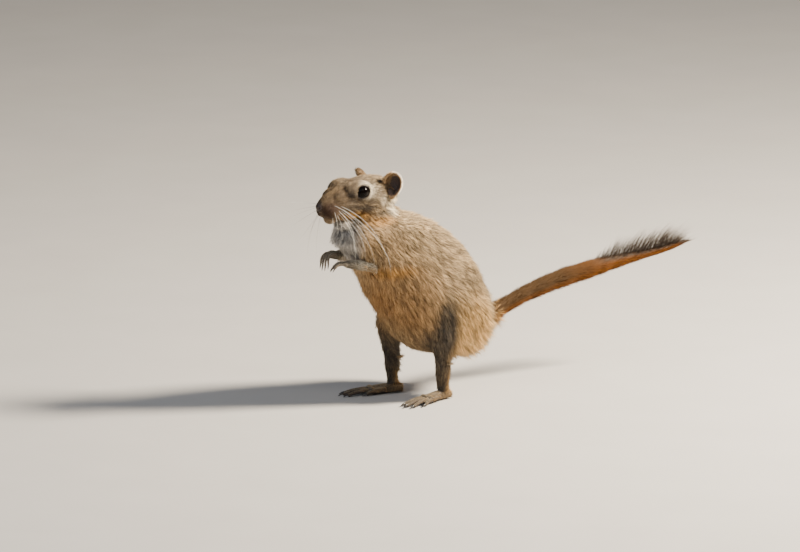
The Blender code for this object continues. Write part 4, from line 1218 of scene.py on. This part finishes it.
def build_legs():
    """Skin and coat of shanks and feet."""
    skin, body_hair = foot_finish("foot_skin"), coat_finish("leg_coat")
    paw_hair = paw_coat_finish("paw_coat")
    for side in SIDES:
        coat, wild = Coat(leg_guides(side)), np.random.default_rng(17)
        heel, forward, _ = foot_frame(side)
        sole = cut_copy(f"foot_{side}", on_foot(side, TOE_CUT, 0, 0), forward)
        mesh = sink(even_skin([f"shank_{side}"], *LEG_MESH, [sole] + toe_shapes(side)), coat)
        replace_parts(add_piece(f"skin_foot_{side}", mesh, skin), f"foot_{side}")
        roots, normals = scatter(mesh, wild, lambda points: coat_density(coat, points, LEG_DENSITY))
        density = coat_density(coat, roots, LEG_DENSITY)
        ways, locks = combed(roots, normals, coat, wild, density, lock_mm=0.9)
        ahead, height = (roots - np.array(heel)) @ np.array(forward), roots[:, 2]
        # Near the toes hair grows only on their tops, so the dark skin shows between them as painted shade.
        lowest = np.interp(ahead, (22 * MM, 27 * MM), (-0.5, 0.15))
        keep = (height < LEG_COAT_TOP * MM) & (normals[:, 2] > lowest)
        keep &= (height > 0.8 * MM) & ((roots + ways)[:, 2] > 0.2 * MM)
        roots, normals, ways, locks, ahead, height = (
            values[keep] for values in (roots, normals, ways, locks, ahead, height)
        )
        # Golden hair: at the heel it is the fringe's own colour; up the rear-facing side of the shank it is
        # painted rim light.
        behind = np.clip((9.5 * MM - ahead) / (4 * MM), 0, 1) * np.clip(height / (8 * MM), 0, 1)
        rim_lit_rear = np.clip(0.3 - normals @ np.array(forward), 0, 0.8)
        behind = np.maximum(behind, rim_lit_rear * np.clip((24 * MM - height) / (6 * MM), 0, 1))
        # Pale hair on the upward-facing tops of the toes is a painted highlight.
        painted_highlight_on_top = np.clip((normals[:, 2] - 0.55) / 0.4, 0, 0.9)
        painted_highlight_on_top = painted_highlight_on_top * np.clip((14 * MM - height) / (6 * MM), 0, 1)
        widths = hair_width(np.linalg.norm(ways, axis=1))
        low = height < 11 * MM
        for name, part, hair in (("coat_foot", low, paw_hair), ("coat_shank", ~low, body_hair)):
            tufts(
                f"{name}_{side}", roots[part], ways[part], widths[part], wild, hair, "paw_coat",
                flat=unwrapped(roots[part], heel, forward if name == "coat_foot" else (0, 0, 1)),
                lock=locks[part], fringe=behind[part] * 0.8, pale=painted_highlight_on_top[part],
            )


def build_hands():
    """Skin and coat of forearms and hands."""
    skin, hair = foot_finish("hand_skin", 1.5), paw_coat_finish("hand_coat", HAND_HAIR)
    for side in SIDES:
        coat, wild = Coat(arm_guides(side)), np.random.default_rng(23)
        elbow, wrist, knuckles = (np.array(place(x, out * SIDES[side], z)) for x, out, z in ARMS[side][:3])
        along = Vector(knuckles - wrist).normalized()
        palm = cut_copy(f"hand_{side}", Vector(knuckles) + along * 0.3 * MM, along)
        mesh = sink(even_skin([f"forearm_{side}"], *ARM_MESH, [palm] + finger_shapes(side)), coat)
        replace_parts(add_piece(f"skin_hand_{side}", mesh, skin), f"hand_{side}")
        roots, normals = scatter(mesh, wild, lambda points: np.full(len(points), HAND_DENSITY))
        towards = unit((wrist - elbow)[None])[0]
        # On the fingers hair grows only on their upper and forward sides, so the dark skin shows between
        # them as painted shade.
        on_fingers = (roots - knuckles) @ np.array(along) > 0.5 * MM
        keep = ~on_fingers | (normals @ np.array(along) + normals[:, 2] > 0.1)
        roots, normals = roots[keep], normals[keep]
        ways, locks = combed(roots, normals, coat, wild, HAND_DENSITY, lock_mm=0.7)
        from_wrist = (roots - wrist) @ towards
        # Paler on the forearm than on the fingers, as the hair is; hair facing downwards is darkened as
        # painted shade.
        pale = np.clip((6 * MM - from_wrist) / (6 * MM), 0.62, 1.5)
        pale = pale * np.clip((normals[:, 2] + 1.2) / 0.8, 0.6, 1)
        widths = hair_width(np.linalg.norm(ways, axis=1))
        tufts(
            f"coat_hand_{side}", roots, ways, widths, wild, hair, "paw_coat",
            flat=unwrapped(roots, elbow, towards), lock=locks, pale=pale,
            fringe=np.clip(-(from_wrist + 10 * MM) / (8 * MM), 0, 1) * 0.6,
        )


def tail_line(shares):
    """Middle, direction, upward direction, sideways direction and radius along the tail."""
    points = [place(*point) for point, _ in TAIL_POINTS]
    last, steps = len(points) - 1, 6
    line, radii = [], []
    for index in range(last):
        before, start, end = points[max(index - 1, 0)], points[index], points[index + 1]
        after = points[min(index + 2, last)]
        for step in range(steps):
            t = step / steps
            line.append((
                start * 2 + (end - before) * t + (before * 2 - start * 5 + end * 4 - after) * t ** 2
                + (start * 3 - before - end * 3 + after) * t ** 3
            ) / 2)
            radii.append(TAIL_POINTS[index][1] * (1 - t) + TAIL_POINTS[index + 1][1] * t)
    line, radii = np.array(line + [points[last]]), np.array(radii + [TAIL_POINTS[last][1]]) * MM
    marks = np.arange(len(line)) / (len(line) - 1)
    ways = np.gradient(line, axis=0)
    middle = np.column_stack([np.interp(shares, marks, line[:, k]) for k in range(3)])
    along = unit(np.column_stack([np.interp(shares, marks, ways[:, k]) for k in range(3)]))
    across = unit(np.cross([[0.0, 0.0, 1.0]], along))
    return middle, along, np.cross(along, across), across, np.interp(shares, marks, radii)


def build_tail():
    """Skin of the tail, its rust-orange hair and the dark crest."""
    wild = np.random.default_rng(31)
    hair = tail_finish("tail_coat")
    shares = np.linspace(0.0, 0.985, 70)
    middle, along, lift, across, radius = tail_line(shares)
    sides = 20
    rings = []
    for index in range(sides):
        angle = math.tau * index / sides
        reach = across * math.cos(angle) + lift * math.sin(angle)
        rings.append(middle + reach * (radius * (1 - TAIL_HAIR_SHARE))[:, None])
    mesh = closed_tube(np.stack(rings, axis=1), middle[:1], middle[-1:] + along[-1:] * 0.5 * MM)
    skin = add_piece("skin_tail", mesh, skin_finish("tail_skin"))
    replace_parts(skin, "tail_root", "tail_middle", "tail_brush")

    place_share = wild.uniform(0.03, 0.985, TAIL_HAIRS * 2)
    reach = tail_line(place_share)[4]
    place_share = place_share[wild.random(TAIL_HAIRS * 2) < reach / reach.max()][:TAIL_HAIRS]
    count = len(place_share)
    middle, along, lift, across, radius = tail_line(place_share)
    angle = wild.uniform(0, math.tau, count)
    outward = across * np.cos(angle)[:, None] + lift * np.sin(angle)[:, None]
    roots = middle + outward * (radius * (1 - TAIL_HAIR_SHARE))[:, None]
    rise = np.radians(TAIL_LIFT) * np.clip(wild.normal(1, 0.25, count), 0.4, 1.5)
    lengths = (radius * TAIL_HAIR_SHARE) / math.sin(math.radians(TAIL_LIFT))
    lengths = lengths * wild.uniform(0.75, 1.15, count)
    ways = (along * np.cos(rise)[:, None] + outward * np.sin(rise)[:, None]) * lengths[:, None]
    swerve = across * np.sin(place_share * 60 + angle * 2)[:, None] * lengths[:, None] * 0.08
    upper = np.clip((np.sin(angle) - 0.2) / 0.5, 0, 1) * np.clip((place_share - 0.5) / 0.14, 0, 1)
    dark = upper * (wild.random(count) < 0.75)
    dusk = np.clip((np.sin(angle) + 0.75) / 0.8, 0, 1) * np.clip((0.70 - place_share) / 0.35, 0.25, 0.95)
    flat = np.column_stack([0.004 + 0.992 * angle / math.tau, 0.004 + 0.99 * place_share])
    tufts(
        "coat_tail", roots, ways + swerve, hair_width(lengths), wild, hair, "tail_coat",
        flat=flat, tint=dark, dusk=dusk,
    )

    count = CREST_HAIRS
    t = wild.uniform(0, 1, count) ** 0.72
    edges = np.sort(wild.uniform(0, 1, CREST_LOCKS))
    lock = np.searchsorted(edges, t)
    gathered = np.append((np.append(0, edges[:-1]) + edges) / 2, (edges[-1] + 1) / 2)[lock]
    free = wild.random(count) < 0.45
    lone_length = wild.uniform(0.5, 1.0, count)
    lock_length = np.where(free, lone_length, wild.uniform(0.68, 1.04, CREST_LOCKS + 1)[lock])
    lock_sweep = wild.uniform(0.75, 1.3, CREST_LOCKS + 1)[lock]
    place_share = CREST_START + (CREST_END - CREST_START) * t
    middle, along, lift, across, radius = tail_line(place_share)
    angle = wild.normal(0, 0.6, count)
    outward = lift * np.cos(angle)[:, None] + across * np.sin(angle)[:, None]
    roots = middle + outward * (radius * 0.45)[:, None]
    fading = wild.uniform(0.25, 1.0, count) * np.clip((t - 0.8) / 0.15, 0, 1)
    height = CREST_TOP * MM * np.minimum(1.0, 0.30 + 2.2 * t) * (1 - fading)
    sweep = (CREST_SWEEP[0] + (CREST_SWEEP[1] - CREST_SWEEP[0]) * t) * MM
    shorter = lock_length * (0.45 + 0.57 * wild.random(count) ** 0.6)
    rise = (height * shorter)[:, None] * lift
    back = (sweep * shorter * lock_sweep * wild.uniform(0.9, 1.1, count))[:, None] * along
    back = back + along * ((gathered - t) * 0.5 * ~free * CREST_LENGTH * MM)[:, None]
    lean = across * (np.sin(angle) * 0.35 * height + wild.normal(0, 0.6 * MM, count))[:, None]
    ways, bends = rise * 1.15 + back * 0.25 + lean * 0.6, back * 0.75 - rise * 0.15 + lean * 0.4
    flat = np.column_stack([0.5 + angle / 4, 0.004 + 0.99 * t])
    tufts(
        "coat_crest", roots, ways, wild.uniform(0.06, 0.10, count) * MM, wild, hair, "tail_coat",
        bends=bends, rings=4, flat=flat, tint=np.clip(wild.normal(0.97, 0.1, count), 0.4, 1),
    )

    count = FRINGE_HAIRS
    place_share = 1 - 0.42 * wild.random(count) ** 1.3
    middle, along, lift, across, radius = tail_line(np.clip(place_share, 0, 0.99))
    angle = wild.normal(0, 0.8, count)
    outward = across * np.sin(angle)[:, None] - lift * np.cos(angle)[:, None]
    roots = middle + outward * (radius * 0.45)[:, None]
    lengths = wild.uniform(7, 13, count) * MM * (0.7 + 0.3 * place_share)
    lengths = lengths * (1 + 0.45 * (wild.random(count) < 0.06))
    ways = along * lengths[:, None] + outward * (lengths * 0.16)[:, None]
    bends = outward * (lengths * -0.06)[:, None] + lift * (lengths * 0.05)[:, None]
    flat = np.column_stack([0.5 + angle / 8, 0.004 + 0.99 * place_share])
    tufts(
        "coat_tail_fringe", roots, ways, np.full(count, 0.11 * MM), wild, hair, "tail_coat",
        bends=bends, rings=3, flat=flat, tint=np.clip((place_share - 0.93) / 0.05, 0, 1),
    )


def ear_matrix(side):
    """From an ear's own frame (opening, width, height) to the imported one."""
    left = -SIDES[side]
    out, back = EAR_LEAN[side]
    lean_out = Matrix.Rotation(-math.radians(out) * left, 4, "X")
    lean_back = Matrix.Rotation(-math.radians(back), 4, "Y")
    yaw = Matrix.Rotation(math.radians(EAR_YAW) * left, 4, "Z")
    spot = Matrix.Translation(Vector((EAR[0], EAR[1] * left, EAR[2])) * MM)
    return head_matrix() @ spot @ lean_out @ lean_back @ yaw


def build_ears():
    """Thin ears with painted shade in the cup, a pale fringe and short hair outside."""
    skin = ear_finish("ear_skin")
    outside = plain_hair_finish("ear_hair", EAR_HAIR_TONES)
    fringe = plain_hair_finish("ear_fringe", EAR_FRINGE_TONES)
    inner = plain_hair_finish("ear_inner_hair", EAR_INNER_SHADE_TONES)
    for side in SIDES:
        wild = np.random.default_rng(41)
        matrix = ear_matrix(side)
        mesh = even_skin([f"ear_{side}"], *EAR_MESH, swell_mm=0.0)
        places, normals = point_arrays(mesh)
        back = np.array(matrix.inverted())
        own = places @ back[:3, :3].T + back[:3, 3]
        facing = normals @ back[:3, :3].T
        cup, rim = ear_zones(own, facing, side)
        store(mesh, "cup", cup)
        store(mesh, "rim", rim)
        piece = add_piece(f"skin_ear_{side}", mesh, skin)
        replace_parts(piece, f"ear_{side}")

        roots, normals = scatter(mesh, wild, lambda points: np.full(len(points), EAR_DENSITY))
        own = roots @ back[:3, :3].T + back[:3, 3]
        facing = normals @ back[:3, :3].T
        cup, rim = ear_zones(own, facing, side)
        turn = np.array(matrix)[:3, :3]
        to_rear = np.array((0.0, -SIDES[side], 0.0))
        radial = unit(np.column_stack([np.zeros(len(own)), own[:, 1], own[:, 2] + 5 * MM]))
        front = (facing[:, 0] > 0) & (own @ to_rear < -2.2 * MM) & (rim < 0.5)
        sparse = (cup > 0.5) & (wild.random(len(own)) < 0.25)
        kinds = {
            "hair": ((cup < 0.5) & (rim < 0.5) & ~front, outside, 1.5, 12, radial),
            "front": (front, outside, 2.3, 16, radial * 0.5 + to_rear * 0.7),
            "fringe": (rim > 0.3, fringe, 0.95, 24, radial),
            "inner": (sparse, inner, 1.2, 24, radial * 0.4 + to_rear * 0.6),
        }
        for kind, (chosen, finish, length, rise, lies) in kinds.items():
            spots, outward = roots[chosen], normals[chosen]
            way = lies[chosen] @ turn.T
            way = unit(way - outward * (way * outward).sum(axis=1, keepdims=True))
            lengths = length * MM * wild.uniform(0.6, 1.2, len(spots))
            angle = math.radians(rise)
            ways = (way * math.cos(angle) + outward * math.sin(angle)) * lengths[:, None]
            ways += wild.normal(0, 0.12, (len(spots), 3)) * lengths[:, None]
            flat = unwrapped(spots, matrix.translation, matrix.to_3x3() @ Vector((0, 0, 1)))
            widths = hair_width(lengths)
            tufts(f"ear_{kind}_{side}", spots, ways, widths, wild, finish, "ear_skin", flat=flat)


def ear_zones(own, facing, side):
    """How far each point of an ear is in its cup, which is painted dark as shade, and on its pale rim."""
    across, height = own[:, 1] * -SIDES[side] / MM, own[:, 2] / MM
    inside = np.hypot((across - 1.3) / 4.7, (height + 0.4) / 6.9)
    cup = np.clip((facing[:, 0] - 0.1) / 0.3, 0, 1) * np.clip((1.05 - inside) / 0.15, 0, 1)
    whole = np.hypot(across / (EAR_WIDTH / 2), height / (EAR_HEIGHT / 2))
    rim = np.clip((whole - 0.88) / 0.08, 0, 1) * np.clip((height + 6) / 3, 0, 1)
    return cup, rim * np.clip((across + 4.5) / 3, 0, 1)


def ball(radius, segments, rings):
    """A round ball as a mesh."""
    shape = bmesh.new()
    bmesh.ops.create_uvsphere(shape, u_segments=segments, v_segments=rings, radius=radius)
    mesh = finished(shape)
    mesh.shade_smooth()
    return mesh


def eye_frame(side):
    """Centre of an eye, where it looks, and its forward and upward directions."""
    left = -SIDES[side]
    gaze = head_way(EYE_GAZE[0], EYE_GAZE[1] * left, EYE_GAZE[2]).normalized()
    forward, up = head_way(1, 0, 0), head_way(0, 0, 1)
    along = (forward - gaze * forward.dot(gaze)).normalized()
    rise = gaze.cross(along)
    return on_head(EYE[0], EYE[1] * left, EYE[2]), gaze, along, rise if rise.dot(up) > 0 else -rise


def build_eyes():
    """Wet, dark eyeballs."""
    wet = mottled_finish(
        "eye_wet", EYE_TONES, 2.0, edges=(0.4, 0.7), Roughness=0.03, Specular_IOR_Level=0.07
    )
    for side in SIDES:
        centre, gaze, _, _ = eye_frame(side)
        eyeball = ball(EYE_RADIUS * MM, 48, 32)
        eyeball.transform(Matrix.Translation(centre) @ gaze.to_track_quat("Z", "Y").to_matrix().to_4x4())
        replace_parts(add_piece(f"eyeball_{side}", eyeball, wet), f"eye_{side}")


def build_claws():
    """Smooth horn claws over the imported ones."""
    horn = mottled_finish(
        "claw_horn", HORN_TONES, 0.4, relief=(0.3, 0.1), Roughness=0.32, Specular_IOR_Level=0.5
    )
    for limb, count in (("hind", 5), ("fore", 4)):
        for side in SIDES:
            names = [f"claw_{limb}_{side}_{number}" for number in range(1, count + 1)]
            steps = [("SUBSURF", {"levels": 1, "render_levels": 1})]
            mesh = with_modifiers(joined([finished(node_copy(name)) for name in names]), steps)
            mesh.shade_smooth()
            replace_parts(add_piece(f"claws_{limb}_{side}", mesh, horn), *names)


# Whiskers: root on the head (forward, outwards, up), then a point halfway and
# the tip in the animal's frame (X, outwards, Z)
NEAR_WHISKERS = [
    ((40, 7.2, -5.5), (-35.8, 13, 123.9), (-38, 12, 111.8)),
    ((38.5, 7.6, -6), (-30.6, 18, 118.7), (-31.7, 22, 96.9)),
    ((37, 7.8, -6), (-25.7, 19, 119.0), (-25.3, 25, 102)),
    ((36, 8.0, -5), (-22.2, 22, 116.4), (-20.6, 30, 91.7)),
    ((34.5, 8.5, -4.5), (-14.1, 26, 113.5), (-12, 35, 91)),
    ((39, 7.5, -3.5), (-31.4, 18, 124.2), (-33.9, 24, 110.1)),
    ((35.5, 8.5, -2.5), (-21.7, 26, 125.2), (-15.4, 36.6, 103.7)),
    ((42, 6.5, -6), (-41.8, 11, 124.9), (-46.8, 12, 116.6)),
    ((41, 7.0, -3), (-42, 16, 131), (-46, 24, 122)),
    ((40, 7.2, -1.5), (-35, 22, 134), (-31, 36, 124)),
]
FAR_WHISKERS = [
    ((41, 7, -3), (-50.2, 12, 134.7), (-58.4, 20, 131.5)),
    ((40, 7.2, -5), (-46.2, 12, 129.5), (-55.2, 20, 121)),
    ((42, 6.5, -1.5), (-51.9, 13, 138.8), (-61.8, 22, 138.3)),
    ((38.5, 7.6, -6), (-43, 12, 123.7), (-48.6, 18, 112.5)),
    ((40, 7.2, -3.5), (-48.6, 12, 132.5), (-59.9, 20, 126.3)),
    ((36, 8, -5), (-30, 24, 118), (-26, 32, 96)),
    ((37, 7.8, -6), (-36, 22, 118), (-36, 28, 98)),
    ((35.5, 8.5, -2.5), (-26, 27, 126), (-20, 36.6, 106)),
    ((42, 6.5, -6), (-43, 10, 124), (-46, 12, 114)),
]
WHISKER_WIDTH = 0.14


def build_whiskers():
    """Long, thin whiskers that droop from both pads."""
    wild = np.random.default_rng(53)
    pale = plain_hair_finish("whisker", WHISKER_TONES)
    for side, rows in (("left", NEAR_WHISKERS), ("right", FAR_WHISKERS)):
        roots = np.array([on_head(forward, -out * SIDES[side], up) for (forward, out, up), _, _ in rows])
        middles, tips = (
            np.array([place(x, out * SIDES[side], z) for x, out, z in spots])
            for spots in ([row[1] for row in rows], [row[2] for row in rows])
        )
        bends = (tips - roots) * 2 - (middles - roots) * 4
        widths = np.full(len(rows), WHISKER_WIDTH * MM)
        ways = tips - roots - bends
        tufts(f"whiskers_{side}", roots, ways, widths, wild, pale, "coat", bends=bends, rings=14)


def add_light(name, target, direction, distance, size, power, colour):
    """A soft round lamp that looks at a point."""
    lamp = bpy.data.lights.new(name, "AREA")
    lamp.shape, lamp.size, lamp.energy, lamp.color = "DISK", size, power, colour
    light = bpy.data.objects.new(name, lamp)
    away = Vector(direction).normalized()
    light.location = target + away * distance
    light.rotation_euler = away.to_track_quat("Z", "Y").to_euler()
    bpy.context.scene.collection.objects.link(light)


# Lamps: the way to them (aside, towards the camera, up), distance and size in
# metres, power and colour; then the colour and strength of the sky
LAMPS = {
    "key": ((1.0, 0.02, 0.78), 1.3, 0.28, 90, (1.0, 0.88, 0.70)),
    "fill": ((-0.7, 0.8, 0.5), 1.6, 1.2, 7.5, (0.78, 0.87, 1.0)),
    "front": ((0.3, 1.0, 0.9), 1.8, 1.0, 6, (1.0, 0.96, 0.90)),
}
SKY = (0.80, 0.85, 0.92, 1), 0.20


def build_studio():
    """Pale floor, soft light and the photograph's camera."""
    scene = bpy.context.scene
    shape = bmesh.new()
    bmesh.ops.create_grid(shape, x_segments=1, y_segments=1, size=8.0)
    floor = bpy.data.objects.new("floor", finished(shape))
    finish = mottled_finish("floor", FLOOR_TONES, 60.0, 3.0, Roughness=0.8, Specular_IOR_Level=0.2)
    floor.data.materials.append(finish)
    scene.collection.objects.link(floor)

    target = place(*VIEW_TARGET)
    turn, tilt = math.radians(VIEW_AZIMUTH), math.radians(VIEW_ELEVATION)
    back = Vector((math.sin(turn) * math.cos(tilt), -math.cos(turn) * math.cos(tilt), math.sin(tilt)))
    right = Vector((math.cos(turn), math.sin(turn), 0))
    camera = bpy.data.objects.new("camera", bpy.data.cameras.new("camera"))
    camera.data.lens = camera.data.sensor_width * VIEW_DISTANCE / VIEW_WIDTH
    camera.data.clip_end = 60
    camera.location = target + back * VIEW_DISTANCE
    camera.rotation_euler = back.to_track_quat("Z", "Y").to_euler()
    scene.collection.objects.link(camera)
    scene.camera = camera

    up = Vector((0, 0, 1))
    for name, ((aside, towards, above), *lamp) in LAMPS.items():
        add_light(name, target, right * aside + back * towards + up * above, *lamp)
    world = bpy.data.worlds.new("studio")
    world.use_nodes = True
    for key, value in zip(("Color", "Strength"), SKY):
        world.node_tree.nodes["Background"].inputs[key].default_value = value
    scene.world = world


build_studio()
build_head_and_body()
build_legs()
build_hands()
build_tail()
build_ears()
build_eyes()
build_claws()
build_whiskers()
